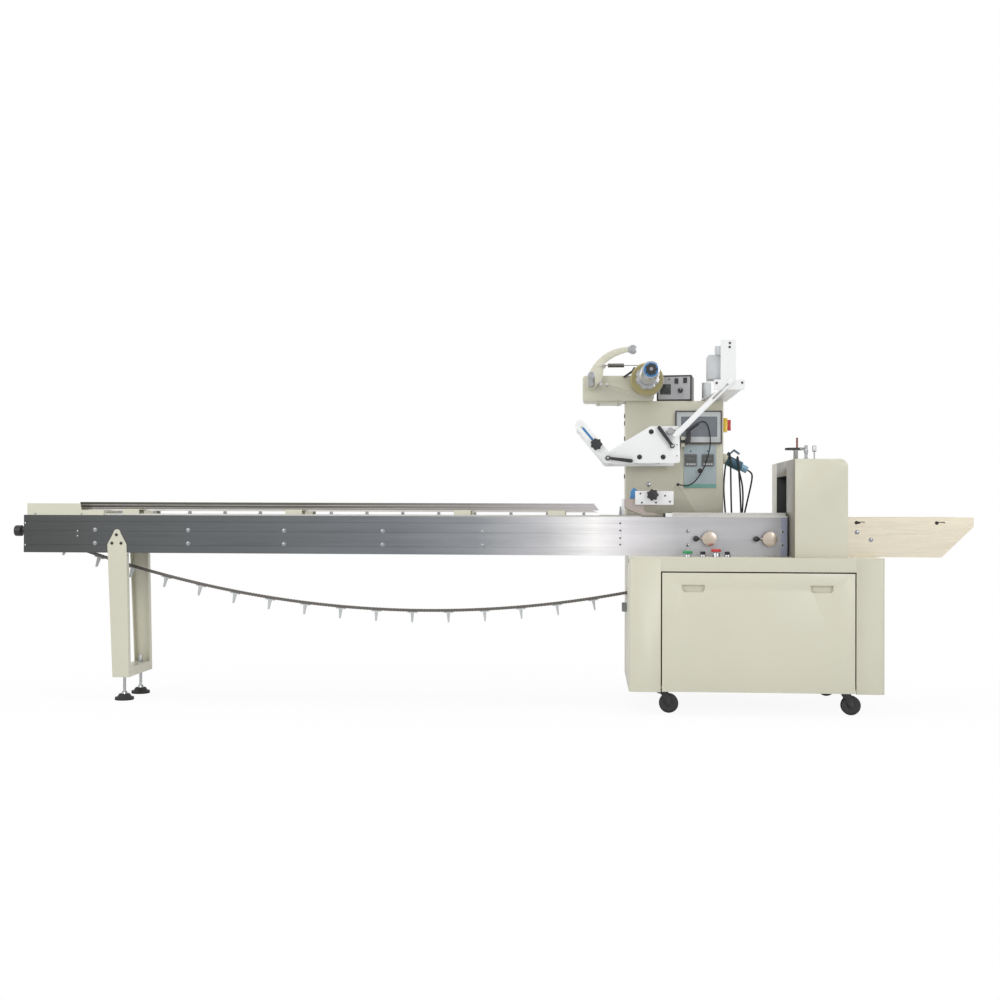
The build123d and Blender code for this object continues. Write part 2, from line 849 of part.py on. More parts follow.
# Guide rails above the deck, pointed where the product leaves them
lane_front = line_y - lane_width / 2
lane_back = line_y + lane_width / 2
rail_faces = ((lane_front - guide_rail_thickness, lane_front), (lane_back, lane_back + guide_rail_thickness))
guide_rail_top = guide_rail_bottom + guide_rail_height
with BuildPart() as guide_rails:
    for near, far in rail_faces:
        with BuildSketch(facing(far)):
            with BuildLine():
                Polyline(
                    (guide_rail_left, guide_rail_bottom),
                    (guide_rail_right + guide_rail_point, guide_rail_bottom),
                    (guide_rail_right, guide_rail_top),
                    (guide_rail_left, guide_rail_top),
                    close=True,
                )
            make_face()
        extrude(amount=far - near)
finish(guide_rails, "guide_rails")

# Infeed brackets: folded channels that carry the guide rails, and the end plates over the tail
with BuildPart() as infeed_brackets:
    for side in (-1, 1):
        outer = line_y + side * beam_width / 2
        inner = line_y + side * lane_width / 2
        channel = sorted((outer - side * deck_edge, inner))
        for bracket_x in bracket_places:
            span = (bracket_x - bracket_length / 2, bracket_x + bracket_length / 2)
            block(span, channel, (deck_top_z, guide_rail_bottom))
            block(
                (span[0] - 1, span[1] + 1),
                (channel[0] + bracket_sheet, channel[1] - bracket_sheet),
                (deck_top_z - 1, guide_rail_bottom - bracket_sheet),
                mode=Mode.SUBTRACT,
            )
        with BuildSketch(facing(outer + bracket_sheet if side < 0 else outer)):
            with BuildLine():
                Polyline(
                    (infeed_left + 14, beam_top_z),
                    (infeed_left + 325, beam_top_z),
                    (infeed_left + 325, beam_top_z + 20),
                    (infeed_left + 234, beam_top_z + 20),
                    (infeed_left + 230, beam_top_z + end_plate_height),
                    (infeed_left + 14, beam_top_z + end_plate_height),
                    close=True,
                )
            make_face()
        extrude(amount=bracket_sheet)
        for foot_x in (infeed_left + 26, infeed_left + 90):
            block(
                (foot_x - 12, foot_x + 12),
                sorted((outer, outer - side * 22)),
                (beam_top_z, beam_top_z + 3),
            )
finish(infeed_brackets, "infeed_brackets")

# Infeed leg: two channel posts outside the beam and a cross member between them
leg_bottom_x = leg_apex[0] + leg_lean
with BuildPart() as leg_frame:
    for side in (-1, 1):
        outer = line_y + side * (beam_width / 2 + leg_sheet)
        with BuildSketch(facing(outer if side > 0 else outer + leg_sheet)):
            with BuildLine():
                Polyline(
                    (leg_bottom_x - leg_bottom_width / 2, leg_bottom_z),
                    (leg_bottom_x + leg_bottom_width / 2, leg_bottom_z),
                    (leg_apex[0] + leg_top_width / 2, leg_shoulder_z),
                    (leg_apex[0] + 12, leg_apex[1] - 10),
                    (leg_apex[0] - 12, leg_apex[1] - 10),
                    (leg_apex[0] - leg_top_width / 2, leg_shoulder_z),
                    close=True,
                )
            make_face()
            with Locations((leg_apex[0], leg_apex[1] - 14)):
                Circle(14)
        extrude(amount=leg_sheet)
        for edge in (-1, 1):
            with BuildSketch(facing(outer if side > 0 else outer + leg_flange + leg_sheet)):
                with BuildLine():
                    bottom_edge = leg_bottom_x + edge * leg_bottom_width / 2
                    run = (beam_bottom_z - 2 - leg_bottom_z) / (leg_shoulder_z - leg_bottom_z)
                    top_edge = bottom_edge + run * (leg_apex[0] + edge * leg_top_width / 2 - bottom_edge)
                    Polyline(
                        (bottom_edge, leg_bottom_z),
                        (bottom_edge - edge * leg_sheet, leg_bottom_z),
                        (top_edge - edge * leg_sheet, beam_bottom_z - 2),
                        (top_edge, beam_bottom_z - 2),
                        close=True,
                    )
                make_face()
            extrude(amount=leg_flange + leg_sheet)
    member = (leg_bottom_x - leg_bottom_width / 2 + leg_sheet / 3,
              leg_bottom_x + leg_bottom_width / 2 - leg_sheet / 3)
    member_top = leg_bottom_z + cross_member_height
    block(member, (beam_front, beam_back), (leg_bottom_z, member_top))
    block(
        (member[0] + leg_sheet, member[1] - leg_sheet),
        (beam_front + leg_sheet, beam_back - leg_sheet),
        (leg_bottom_z - 1, member_top - leg_sheet),
        mode=Mode.SUBTRACT,
    )
    for side in (-1, 1):
        rod_z(leg_bottom_x, line_y + side * foot_spacing / 2, foot_spindle_r + 0.5,
              (leg_bottom_z, member_top + 1), mode=Mode.SUBTRACT)
finish(leg_frame, "leg_frame")

# Levelling feet: rubber pad, spindle and two nuts that grip the cross member
with BuildPart() as levelling_feet:
    for side in (-1, 1):
        foot_y = line_y + side * foot_spacing / 2
        with BuildSketch(Plane.XY):
            with Locations((leg_bottom_x, foot_y)):
                Circle(foot_pad_r)
        extrude(amount=foot_pad_height * 0.45)
        with BuildSketch(Plane.XY.offset(foot_pad_height * 0.45)):
            with Locations((leg_bottom_x, foot_y)):
                Circle(foot_pad_r * 0.8)
        extrude(amount=foot_pad_height * 0.55, taper=35)
        rod_z(leg_bottom_x, foot_y, foot_spindle_r, (foot_pad_height * 0.45, member_top + 28))
        with BuildSketch(Plane.XY.offset(member_top + 0.05)):
            with Locations((leg_bottom_x, foot_y)):
                RegularPolygon(foot_nut_r, 6)
        extrude(amount=foot_nut_height)
        with BuildSketch(Plane.XY.offset(foot_pad_height)):
            with Locations((leg_bottom_x, foot_y)):
                RegularPolygon(foot_nut_r, 6)
        extrude(amount=foot_nut_height)
finish(levelling_feet, "levelling_feet")

# Table plates over the seam seal, with a slot for the film seam
table_top_z = beam_top_z + table_thickness
with BuildPart() as machine_table:
    table = (table_left, machine_beam_right)
    block(table, (beam_front, line_y - seam_slot / 2), (beam_top_z, table_top_z))
    block(table, (line_y + seam_slot / 2, beam_back), (beam_top_z, table_top_z))
    for edge in (beam_front, beam_back):
        block(
            table,
            (edge - table_edge_strip, edge + table_edge_strip),
            (beam_top_z + table_edge_thickness, table_top_z + 1),
            mode=Mode.SUBTRACT,
        )
finish(machine_table, "machine_table")

# Film former: a folded tunnel that turns the film down round the product, with a round throat behind
former_top = deck_top_z + former_height
throat_right = former_left + former_throat
throat_z = deck_top_z + former_throat_height
with BuildPart() as film_former:
    for side in (-1, 1):
        inner = line_y + side * lane_width / 2
        with BuildSketch(facing(inner if side < 0 else inner + former_sheet)):
            with BuildLine():
                Polyline(
                    (throat_right - 27, throat_z),
                    (throat_right, throat_z),
                    (throat_right, former_top),
                    (former_left, former_top),
                    (former_left, deck_top_z + former_heel_height),
                    (former_left + former_heel, deck_top_z),
                    (former_left + former_length, deck_top_z),
                    (throat_right - 5, deck_top_z + 10),
                    (throat_right - 28, deck_top_z + 12),
                )
                ThreePointArc(
                    (throat_right - 28, deck_top_z + 12),
                    (throat_right - 41, deck_top_z + 25),
                    (throat_right - 27, throat_z),
                )
            make_face()
        extrude(amount=former_sheet)
    block(
        (former_left, throat_right),
        (lane_front - former_sheet, lane_back + former_sheet),
        (former_top - former_sheet, former_top),
    )
finish(film_former, "film_former")

# Former bracket: front plate with knob, and the bars that join it to the former and the column
bracket_front = lane_front - bracket_stand_off
bracket_face = bracket_front + bracket_plate_thickness
bracket_right = bracket_left + bracket_plate_length
bracket_top = bracket_bottom + bracket_plate_height
with BuildPart() as former_bracket:
    block((bracket_left, bracket_right), (bracket_front, bracket_face), (bracket_bottom, bracket_top))
    block((bracket_right - 62, bracket_right - 22), (bracket_face, column_front), (bracket_top - 23, bracket_top - 5))
    block(
        (bracket_left + 16, bracket_left + 54),
        (bracket_face, lane_front - former_sheet),
        (former_top - 22, former_top - 3),
    )
    star_knob(bracket_left + bracket_knob_inset, bracket_top - 15, bracket_front)
finish(former_bracket, "former_bracket")

# Column, with the stub that holds the mains plug and the grommet of the sensor cable
plug_tilt = math.radians(plug_tilt_deg)
plug_along = (math.cos(plug_tilt), 0, -math.sin(plug_tilt))
plug_plane = Plane(origin=(column_right + plug_gap, plug_y, plug_z), x_dir=(0, 1, 0), z_dir=plug_along)
with BuildPart() as column:
    with BuildSketch(Plane.XY.offset(cabinet_top_z)):
        with Locations(((column_left + column_right) / 2, (column_front + column_back) / 2)):
            RectangleRounded(column_width, column_depth, column_edge_r)
    extrude(amount=column_top_z - cabinet_top_z)
    block(
        (column_left + column_wall, column_right - column_wall),
        (column_front + column_wall, column_back - column_wall),
        (cabinet_top_z - 1, column_top_z - column_wall),
        mode=Mode.SUBTRACT,
    )
    rod_y(grommet_x, grommet_z, grommet_r, (column_front - grommet_height, column_front + 1))
    with BuildSketch(plug_plane):
        Circle(plug_stub_r)
    extrude(amount=-plug_stub_length)
finish(column, "column")

# Head box with the bearing bores of the arbor and the dancer, and the strip plate under its overhang
with BuildPart() as head_box:
    with BuildSketch(facing(column_back)):
        with Locations(((head_left + head_right) / 2, (column_top_z + head_top_z) / 2)):
            RectangleRounded(head_length, head_height, head_corner_r)
    extrude(amount=column_back - head_front)
    block((head_left + 54, head_left + 161), (head_front + 12, column_back - 12), (column_top_z - 8, column_top_z))
    for bolt_x in (head_left + 63, head_left + 145):
        rod_z(bolt_x, head_front + 30, 5, (column_top_z - 20, column_top_z - 8))
    for bore_x, bore_z, bore_r in ((arbor_x, arbor_z, arbor_shaft_r), (dancer_x, dancer_z, dancer_shaft_r)):
        rod_y(bore_x, bore_z, bore_r + running_clearance, (head_front - 1, head_front + arbor_seat_depth),
              mode=Mode.SUBTRACT)
finish(head_box, "head_box")

# Controller box, turned a little towards the infeed, on its base pad
controller_foot = column_top_z + 1.0
with BuildPart() as controller_box:
    with Locations(Location((controller_x, controller_y, controller_foot + controller_height / 2),
                            (0, 0, controller_turn))):
        Box(controller_width, controller_width, controller_height)
    with Locations(Location((controller_x, controller_y, column_top_z + 0.5), (0, 0, controller_turn))):
        Box(controller_width - 20, controller_width - 30, 1)
finish(controller_box, "controller_box")

# Touch screen in its frame, with the window sunk into its face
screen_face = column_front - screen_thickness
window_left = screen_left + window_inset_x
window_bottom = screen_bottom + window_inset_z
with BuildPart() as touch_screen:
    block(
        (screen_left, screen_left + screen_length),
        (screen_face, column_front),
        (screen_bottom, screen_bottom + screen_height),
    )
    fillet(touch_screen.edges().filter_by(Axis.Y), screen_edge_r)
    block(
        (window_left, window_left + window_length),
        (screen_face - 1, screen_face + window_depth),
        (window_bottom, window_bottom + window_height),
        mode=Mode.SUBTRACT,
    )
finish(touch_screen, "touch_screen")

# Control panel with the two temperature regulators and the selector
plate_face = column_front - plate_thickness
with BuildPart() as control_panel:
    block((plate_left, plate_left + plate_length), (plate_face, column_front), (plate_bottom, plate_bottom + plate_height))
    for regulator_x in (regulator_left_x, regulator_right_x):
        block(
            (regulator_x - regulator_size / 2, regulator_x + regulator_size / 2),
            (plate_face - regulator_depth, plate_face),
            (regulator_z - regulator_size / 2, regulator_z + regulator_size / 2),
        )
    rod_y(selector_x, selector_z, selector_r, (plate_face - 1.5 * regulator_depth, plate_face))
finish(control_panel, "control_panel")

# Main switch on the column's side
switch_face = column_right + switch_depth
with BuildPart() as main_switch_base:
    block(
        (column_right, switch_face),
        (switch_y - switch_size / 2, switch_y + switch_size / 2),
        (switch_z - switch_size / 2, switch_z + switch_size / 2),
    )
    rod_x(switch_y, switch_z, switch_shaft_r + running_clearance, (switch_face - 12, switch_face + 1), mode=Mode.SUBTRACT)
finish(main_switch_base, "main_switch_base")

with BuildPart() as main_switch_handle:
    rod_x(switch_y, switch_z, switch_shaft_r, (switch_face - 11, switch_face + 1))
    rod_x(switch_y, switch_z, switch_dial_r, (switch_face + 0.5, switch_face + 5))
    block((switch_face + 0.5, switch_face + 16), (switch_y - 7, switch_y + 7), (switch_z - 22, switch_z + 22))
finish(main_switch_handle, "main_switch_handle")

# Film guide frame: two pentagonal plates, the rollers between them and bosses to the column
guide_outline = (
    (guide_pivot_x - 2, guide_pivot_z - guide_nose_r),
    (guide_right, guide_bottom),
    (guide_right - 3, guide_top),
    (guide_peak_x, guide_top),
    (guide_pivot_x - 11, guide_pivot_z + 17),
)
boss_places = ((guide_right - 153, guide_bottom + 22), (guide_right - 64, guide_bottom + 22))
guide_roller_places = ((guide_peak_x + 3, guide_top - 21), *boss_places)
with BuildPart() as film_guide_frame:
    for back_face in (guide_front_y + guide_plate_thickness, guide_back_y):
        with BuildSketch(facing(back_face)) as guide_plate:
            with BuildLine():
                Polyline(*guide_outline, close=True)
            make_face()
            fillet(guide_plate.vertices().sort_by(Axis.X)[2:], guide_corner_r)
            with Locations(guide_pivot):
                Circle(guide_nose_r)
                Circle(guide_pin_r + running_clearance, mode=Mode.SUBTRACT)
        extrude(amount=guide_plate_thickness)
    for roller_x, roller_z in guide_roller_places:
        rod_y(roller_x, roller_z, guide_roller_r, (guide_front_y + 1, guide_back_y - 1))
    for boss_x, boss_z in (*boss_places, (guide_right - 39, guide_top - 27)):
        rod_y(boss_x, boss_z, guide_boss_r, (guide_back_y - 1, column_front))
finish(film_guide_frame, "film_guide_frame")

# Slotted guide arm: twin arms on the nose pivot with a roller at their far end and a star knob
arm_along = (math.cos(math.radians(guide_arm_angle)), math.sin(math.radians(guide_arm_angle)))
arm_tip = (guide_pivot_x + guide_arm_length * arm_along[0], guide_pivot_z + guide_arm_length * arm_along[1])
arm_front = guide_front_y + guide_plate_thickness + guide_arm_gap
arm_back = guide_back_y - guide_plate_thickness - guide_arm_gap
with BuildPart() as slotted_guide_arm:
    for back_face in (arm_front + guide_plate_thickness, arm_back):
        with BuildSketch(facing(back_face, *guide_pivot, guide_arm_angle)):
            with Locations((guide_arm_length / 2, 0)):
                SlotCenterToCenter(guide_arm_length, guide_arm_width)
            with Locations((guide_arm_slot_start + guide_arm_slot, 0)):
                SlotCenterToCenter(guide_arm_slot, guide_slot_width, mode=Mode.SUBTRACT)
        extrude(amount=guide_plate_thickness)
    rod_y(*arm_tip, 9, (arm_front + 1, arm_back - 1))
    rod_y(*guide_pivot, guide_pin_r, (guide_front_y + 0.3, guide_back_y))
    knob_at = (guide_pivot_x + guide_knob_reach * arm_along[0], guide_pivot_z + guide_knob_reach * arm_along[1])
    star_knob(*knob_at, arm_front)
finish(slotted_guide_arm, "slotted_guide_arm")

# Clamp levers on the front of the guide frame: hub on the pivot, tapered handle to the tip
clamp_places = (
    ((clamp_upper_x, clamp_upper_z), clamp_upper_length, clamp_upper_turn),
    (guide_pivot, clamp_lower_length, clamp_lower_turn),
)
with BuildPart() as clamp_levers:
    for pivot, reach, turn in clamp_places:
        rod_y(*pivot, clamp_hub_r, (guide_front_y - 14, guide_front_y))
        with BuildSketch(facing(guide_front_y - 4, *pivot, turn)):
            with BuildLine():
                Polyline((0, -5), (reach, -7), (reach, 7), (0, 5), close=True)
            make_face()
            with Locations((reach, 0)):
                Circle(7)
        extrude(amount=10)
finish(clamp_levers, "clamp_levers")

# Coder bracket: a foot on the column top that reaches forward to the base plate and its upright
coder_deck_z = column_top_z + coder_foot_height
coder_foot_z = coder_deck_z - coder_foot_sheet
coder_base_top = coder_foot_z + coder_base_height
coder_plates = (coder_front_y - coder_plate_thickness, coder_front_y)
with BuildPart() as coder_bracket:
    with BuildSketch(Plane.XY.offset(coder_foot_z)):
        with BuildLine():
            Polyline(
                (coder_base_left - 4, column_back - 10),
                (coder_base_left - 4, column_front + 8),
                (coder_base_left + 36, coder_front_y),
                (coder_base_left + 104, coder_front_y),
                (coder_base_left + 102, column_front + 8),
                (coder_base_left + 102, column_back - 10),
                close=True,
            )
        make_face()
    extrude(amount=coder_foot_sheet)
    block((coder_base_left + 2, column_right - 6), (column_front + 10, column_back - 14), (column_top_z, coder_foot_z))
    block((coder_base_left, coder_base_left + coder_base_width), coder_plates, (coder_foot_z, coder_base_top))
    block((coder_plate_left, coder_plate_left + coder_plate_width), coder_plates, (coder_base_top, coder_plate_top))
finish(coder_bracket, "coder_bracket")

# Date coder: body beside the upright plate with its cap, and the drive on the foot
coder_body_left = coder_plate_left - coder_body_width
coder_body_top = coder_base_top + 5 + coder_body_height
with BuildPart() as date_coder:
    block(
        (coder_body_left, coder_plate_left),
        (coder_front_y + 12, coder_front_y + 12 + coder_body_depth),
        (coder_base_top + 5, coder_body_top),
    )
    block(
        (coder_plate_left, coder_plate_left + 26),
        (coder_front_y, coder_front_y + 100),
        (coder_base_top + 8, coder_body_top - 2),
    )
    block(
        (coder_plate_left - coder_cap_width, coder_plate_left),
        (coder_front_y, coder_front_y + 30),
        (coder_body_top, coder_body_top + coder_cap_height),
    )
    rod_z(coder_plate_left - 11, column_front + 60, coder_drive_r, (coder_deck_z, coder_deck_z + coder_drive_height))
finish(date_coder, "date_coder")

# Slotted link arm between the guide frame and the coder, square at both ends
link_run = math.hypot(link_high_x - link_low_x, link_high_z - link_low_z)
link_turn = math.degrees(math.atan2(link_high_z - link_low_z, link_high_x - link_low_x))
link_face = coder_plates[0] - 0.3
link_front = link_face - link_thickness
with BuildPart() as coder_link_arm:
    with BuildSketch(facing(link_face, link_low_x, link_low_z, link_turn)):
        with Locations(((link_run + 2 * link_over_reach - 2 * link_width / 2) / 2, 0)):
            Rectangle(link_run + link_over_reach + link_width / 2, link_width)
        with Locations((link_run - link_slot_length / 2, 0)):
            SlotCenterToCenter(link_slot_length, link_slot_width, mode=Mode.SUBTRACT)
    extrude(amount=link_thickness)
    rod_y(link_low_x, link_low_z, 7, (link_front - 4, guide_front_y))
    rod_y(link_high_x, link_high_z, 4, (link_front - 4, link_face + 0.3))
    rod_y(link_high_x, link_high_z, 8, (link_front - 4, link_front))
finish(coder_link_arm, "coder_link_arm")

# Film reel arbor with expanding mandrel, chuck rings and star knob
drum_back = head_front - dancer_arm_gap
with BuildPart() as reel_arbor:
    rod_y(arbor_x, arbor_z, arbor_shaft_r, (arbor_front_y + 10, head_front + arbor_seat_depth - 1))
    rod_y(arbor_x, arbor_z, mandrel_r, (arbor_front_y + star_knob_height + 12, mandrel_back_y))
    for ring_y in (mandrel_back_y + 8, mandrel_back_y + 34):
        with BuildSketch(facing(ring_y + chuck_thickness)):
            with Locations((arbor_x, arbor_z)):
                Circle(chuck_r)
                with PolarLocations(chuck_r + 3, 8):
                    Circle(8, mode=Mode.SUBTRACT)
        extrude(amount=chuck_thickness)
    rod_y(arbor_x, arbor_z, 30, (mandrel_back_y, mandrel_back_y + 34 + chuck_thickness))
    star_knob(arbor_x, arbor_z, arbor_front_y + star_knob_height)
finish(reel_arbor, "reel_arbor")

with BuildPart() as brake_drum:
    rod_y(arbor_x, arbor_z, drum_r, (drum_back - drum_width, drum_back))
    rod_y(arbor_x, arbor_z, arbor_shaft_r, (drum_back - drum_width - 1, drum_back + 1), mode=Mode.SUBTRACT)
finish(brake_drum, "brake_drum")

# Dancer arm: cast hub with a spring lug and a long curved prong that carries a weight
arm_back_y = head_front - dancer_arm_gap
lug_x = dancer_x + dancer_lug_x
lug_z = dancer_z + dancer_lug_z
with BuildPart() as dancer_arm:
    with BuildSketch(facing(arm_back_y, dancer_x, dancer_z)):
        with BuildLine():
            ThreePointArc((-20, 7), (37, 110), (150, 152))
            Line((150, 152), (150, 133))
            ThreePointArc((150, 133), (88, 110), (42, 74))
            Polyline((42, 74), (50, 62), (46, 25), (20, -8), (-20, 7))
        make_face()
        Circle(dancer_hub_r)
        with Locations((dancer_lug_x, dancer_lug_z)):
            Circle(12)
        with Locations((154, 142)):
            Circle(12)
    extrude(amount=dancer_arm_thickness)
    rod_y(dancer_x, dancer_z, dancer_shaft_r, (arm_back_y - dancer_arm_thickness, head_front + arbor_seat_depth - 1))
    rod_y(dancer_x, dancer_z, dancer_roller_r, (dancer_roller_front, arm_back_y - dancer_arm_thickness))
    weight_mid = arm_back_y - dancer_arm_thickness / 2
    rod_y(dancer_x + 168, dancer_z + 142, dancer_weight_r,
          (weight_mid - dancer_weight_length / 2, weight_mid + dancer_weight_length / 2))
    rod_y(lug_x, lug_z, 5, (arm_back_y - dancer_arm_thickness - 14, arm_back_y))
finish(dancer_arm, "dancer_arm")

# Brake band: from its pin on the head box, under the drum and round to the spring's wire
spring_y = arm_back_y - dancer_arm_thickness - 9
band_pin = (506.0, 1270.0)
band_inner = drum_r + 0.3
band_outer = band_inner + band_thickness
band_end_angle = 180 - math.degrees(math.asin((lug_z - arbor_z) / band_outer))
pin_run = math.hypot(band_pin[0] - arbor_x, band_pin[1] - arbor_z)
pin_bearing = 180 + math.degrees(math.atan2(arbor_z - band_pin[1], arbor_x - band_pin[0]))
with BuildPart() as brake_band:
    with BuildSketch(facing(spring_y + band_width / 2)):
        with BuildLine():
            ends = []
            for radius in (band_inner, band_outer):
                leave = pin_bearing + math.degrees(math.acos(radius / pin_run)) - 360
                CenterArc((arbor_x, arbor_z), radius, leave, band_end_angle - leave)
                tangent_point = (arbor_x + radius * math.cos(math.radians(leave)),
                                 arbor_z + radius * math.sin(math.radians(leave)))
                slope = math.hypot(tangent_point[0] - band_pin[0], tangent_point[1] - band_pin[1])
                toward = ((band_pin[0] - tangent_point[0]) / slope, (band_pin[1] - tangent_point[1]) / slope)
                end = (tangent_point[0] + toward[0] * (slope - 1), tangent_point[1] + toward[1] * (slope - 1))
                Line(tangent_point, end)
                ends.append(end)
            Line(*ends)
            top_turn = math.radians(band_end_angle)
            Line((arbor_x + band_inner * math.cos(top_turn), arbor_z + band_inner * math.sin(top_turn)),
                 (arbor_x + band_outer * math.cos(top_turn), arbor_z + band_outer * math.sin(top_turn)))
        make_face()
    extrude(amount=band_width)
    rod_y(*band_pin, 5, (spring_y - band_width / 2 - 2, head_front))
finish(brake_band, "brake_band")

# Tension spring with its wire, between the dancer's lug and the end of the brake band
band_end_x = arbor_x + band_outer * math.cos(math.radians(band_end_angle))
with BuildPart() as dancer_spring:
    rod_x(spring_y, lug_z, spring_r, (lug_x + 20, lug_x + 85))
    rod_x(spring_y, lug_z, 1.5, (lug_x + 5.3, band_end_x - 1))
finish(dancer_spring, "dancer_spring")

# Hood: front and back cheek with a lid over the product tunnel
hood_sections = {
    "hood_front_cheek": (hood_front, hood_front + hood_front_cheek, cabinet_top_z),
    "hood_lid": (hood_front + hood_front_cheek, cabinet_back - hood_back_cheek, tunnel_top_z),
    "hood_back_cheek": (cabinet_back - hood_back_cheek, cabinet_back, cabinet_top_z),
}
for section_name, (near, far, bottom) in hood_sections.items():
    with BuildPart() as hood_section:
        with BuildSketch(facing(far)):
            with BuildLine():
                Line((hood_left, bottom), (hood_right, bottom))
                Line((hood_right, bottom), (hood_right, hood_top_z - hood_corner_r))
                RadiusArc((hood_right, hood_top_z - hood_corner_r), (hood_right - hood_corner_r, hood_top_z),
                          -hood_corner_r)
                Line((hood_right - hood_corner_r, hood_top_z), (hood_left, hood_top_z))
                Line((hood_left, hood_top_z), (hood_left, bottom))
            make_face()
        extrude(amount=far - near)
        if bottom == cabinet_top_z:
            block(
                (hood_left + hood_wall, hood_right - hood_wall),
                (near + hood_wall, far - hood_wall),
                (bottom - 1, hood_top_z - hood_corner_r),
                mode=Mode.SUBTRACT,
            )
        else:
            rod_z(hand_x, hand_y, 6 + running_clearance, (hood_top_z - 20, hood_top_z + 1), mode=Mode.SUBTRACT)
    finish(hood_section, section_name)

# End-seal jaws on their shafts, stored open for the product to pass
jaw_x = (hood_left + hood_right) / 2
tunnel = (hood_front + hood_front_cheek, cabinet_back - hood_back_cheek)
with BuildPart() as sealing_jaws:
    for jaw_z in (jaw_low_z, jaw_high_z):
        rod_y(jaw_x, jaw_z, jaw_shaft_r, tunnel)
        block(
            (jaw_x - jaw_half_width, jaw_x + jaw_half_width),
            (line_y - 62, line_y + 90),
            (jaw_z - jaw_half_height, jaw_z + jaw_half_height),
        )
finish(sealing_jaws, "sealing_jaws")

# Handwheel with its crank handle
hand_disc_z = hood_top_z + hand_disc_height
with BuildPart() as handwheel:
    rod_z(hand_x, hand_y, 6, (hood_top_z - 19, hood_top_z + 2))
    rod_z(hand_x, hand_y, 9, (hood_top_z + 0.4, hand_disc_z))
    rod_z(hand_x, hand_y, hand_disc_r, (hand_disc_z, hand_disc_z + hand_disc_thickness))
    rod_z(
        hand_x,
        hand_y - hand_disc_r + 9,
        hand_grip_r,
        (hand_disc_z + hand_disc_thickness, hand_disc_z + hand_disc_thickness + hand_grip_length),
    )
finish(handwheel, "handwheel")

# Outfeed frame: side plates, pulleys and bed
outfeed_left = hood_right
belt_top_z = beam_top_z - 4
with BuildPart() as outfeed_frame:
    for side in (-1, 1):
        outer = line_y + side * beam_width / 2
        with BuildSketch(facing(outer + outfeed_sheet if side < 0 else outer)):
            with BuildLine():
                Polyline(
                    (outfeed_left, beam_bottom_z),
                    (outfeed_right - outfeed_slope_x, beam_bottom_z),
                    (outfeed_right, beam_top_z + 4 - outfeed_nose_drop),
                    (outfeed_right, beam_top_z + 4),
                    (outfeed_left, beam_top_z + 2),
                    close=True,
                )
            make_face()
            with Locations((outfeed_left + 73, beam_top_z - 18), (outfeed_right - 123, beam_top_z - 18)):
                SlotOverall(34, 8, mode=Mode.SUBTRACT)
        extrude(amount=outfeed_sheet)
    inner_span = (beam_front + outfeed_sheet, beam_back - outfeed_sheet)
    pulley_z = belt_top_z - belt_thickness - pulley_r
    pulley_xs = (outfeed_left + 34, outfeed_right - 32)
    for pulley_x in pulley_xs:
        rod_y(pulley_x, pulley_z, pulley_r - 0.3, (inner_span[0] + 6, inner_span[1] - 6))
        rod_y(pulley_x, pulley_z, 6, inner_span)
    block((pulley_xs[0] + 40, pulley_xs[1] - 40), inner_span, (pulley_z - 8, pulley_z + 8))
finish(outfeed_frame, "outfeed_frame")

with BuildPart() as outfeed_belt:
    with BuildSketch(facing(inner_span[1] - 8)):
        with Locations(((pulley_xs[0] + pulley_xs[1]) / 2, pulley_z)):
            SlotCenterToCenter(pulley_xs[1] - pulley_xs[0], 2 * (pulley_r + belt_thickness))
            SlotCenterToCenter(pulley_xs[1] - pulley_xs[0], 2 * pulley_r, mode=Mode.SUBTRACT)
    extrude(amount=inner_span[1] - inner_span[0] - 16)
finish(outfeed_belt, "outfeed_belt")

# Start and stop buttons
for button_name, button_x, collar_height in (("start_button", start_x, 8.0), ("stop_button", stop_x, 15.0)):
    cap_bottom = cabinet_top_z + collar_height + button_travel + 1
    with BuildPart() as button:
        rod_z(button_x, button_y, button_stem_r, (cabinet_top_z - 8, cap_bottom + 2))
        rod_z(button_x, button_y, button_r, (cap_bottom, cap_bottom + 11))
        fillet(button.edges().filter_by(GeomType.CIRCLE).sort_by(Axis.Z)[-1], 5)
    finish(button, button_name)

# Front levers: spun disc with a ball-ended rod
for lever_name, lever_x in zip(("front_lever_left", "front_lever_right"), lever_places):
    disc_back = beam_front - lever_stand_off
    with BuildPart() as front_lever:
        rod_y(lever_x, lever_z, lever_disc_r, (disc_back - lever_disc_thickness, disc_back))
        rod_y(lever_x, lever_z, lever_shaft_r, (disc_back, beam_front + beam_plate))
        rod_y_place = disc_back - lever_disc_thickness * 0.6
        with BuildSketch(facing(rod_y_place)):
            with BuildLine():
                Line((lever_x - lever_reach - lever_ball_r, lever_z), (lever_x - 2, lever_z))
                Line((lever_x - 2, lever_z), (lever_x - 2, lever_z + lever_rod_r))
                neck_x = lever_x - lever_reach + math.sqrt(lever_ball_r**2 - lever_rod_r**2)
                Line((lever_x - 2, lever_z + lever_rod_r), (neck_x, lever_z + lever_rod_r))
                ThreePointArc(
                    (neck_x, lever_z + lever_rod_r),
                    (lever_x - lever_reach, lever_z + lever_ball_r),
                    (lever_x - lever_reach - lever_ball_r, lever_z),
                )
            make_face()
        revolve(axis=Axis((lever_x, rod_y_place, lever_z), (1, 0, 0)))
    finish(front_lever, lever_name)

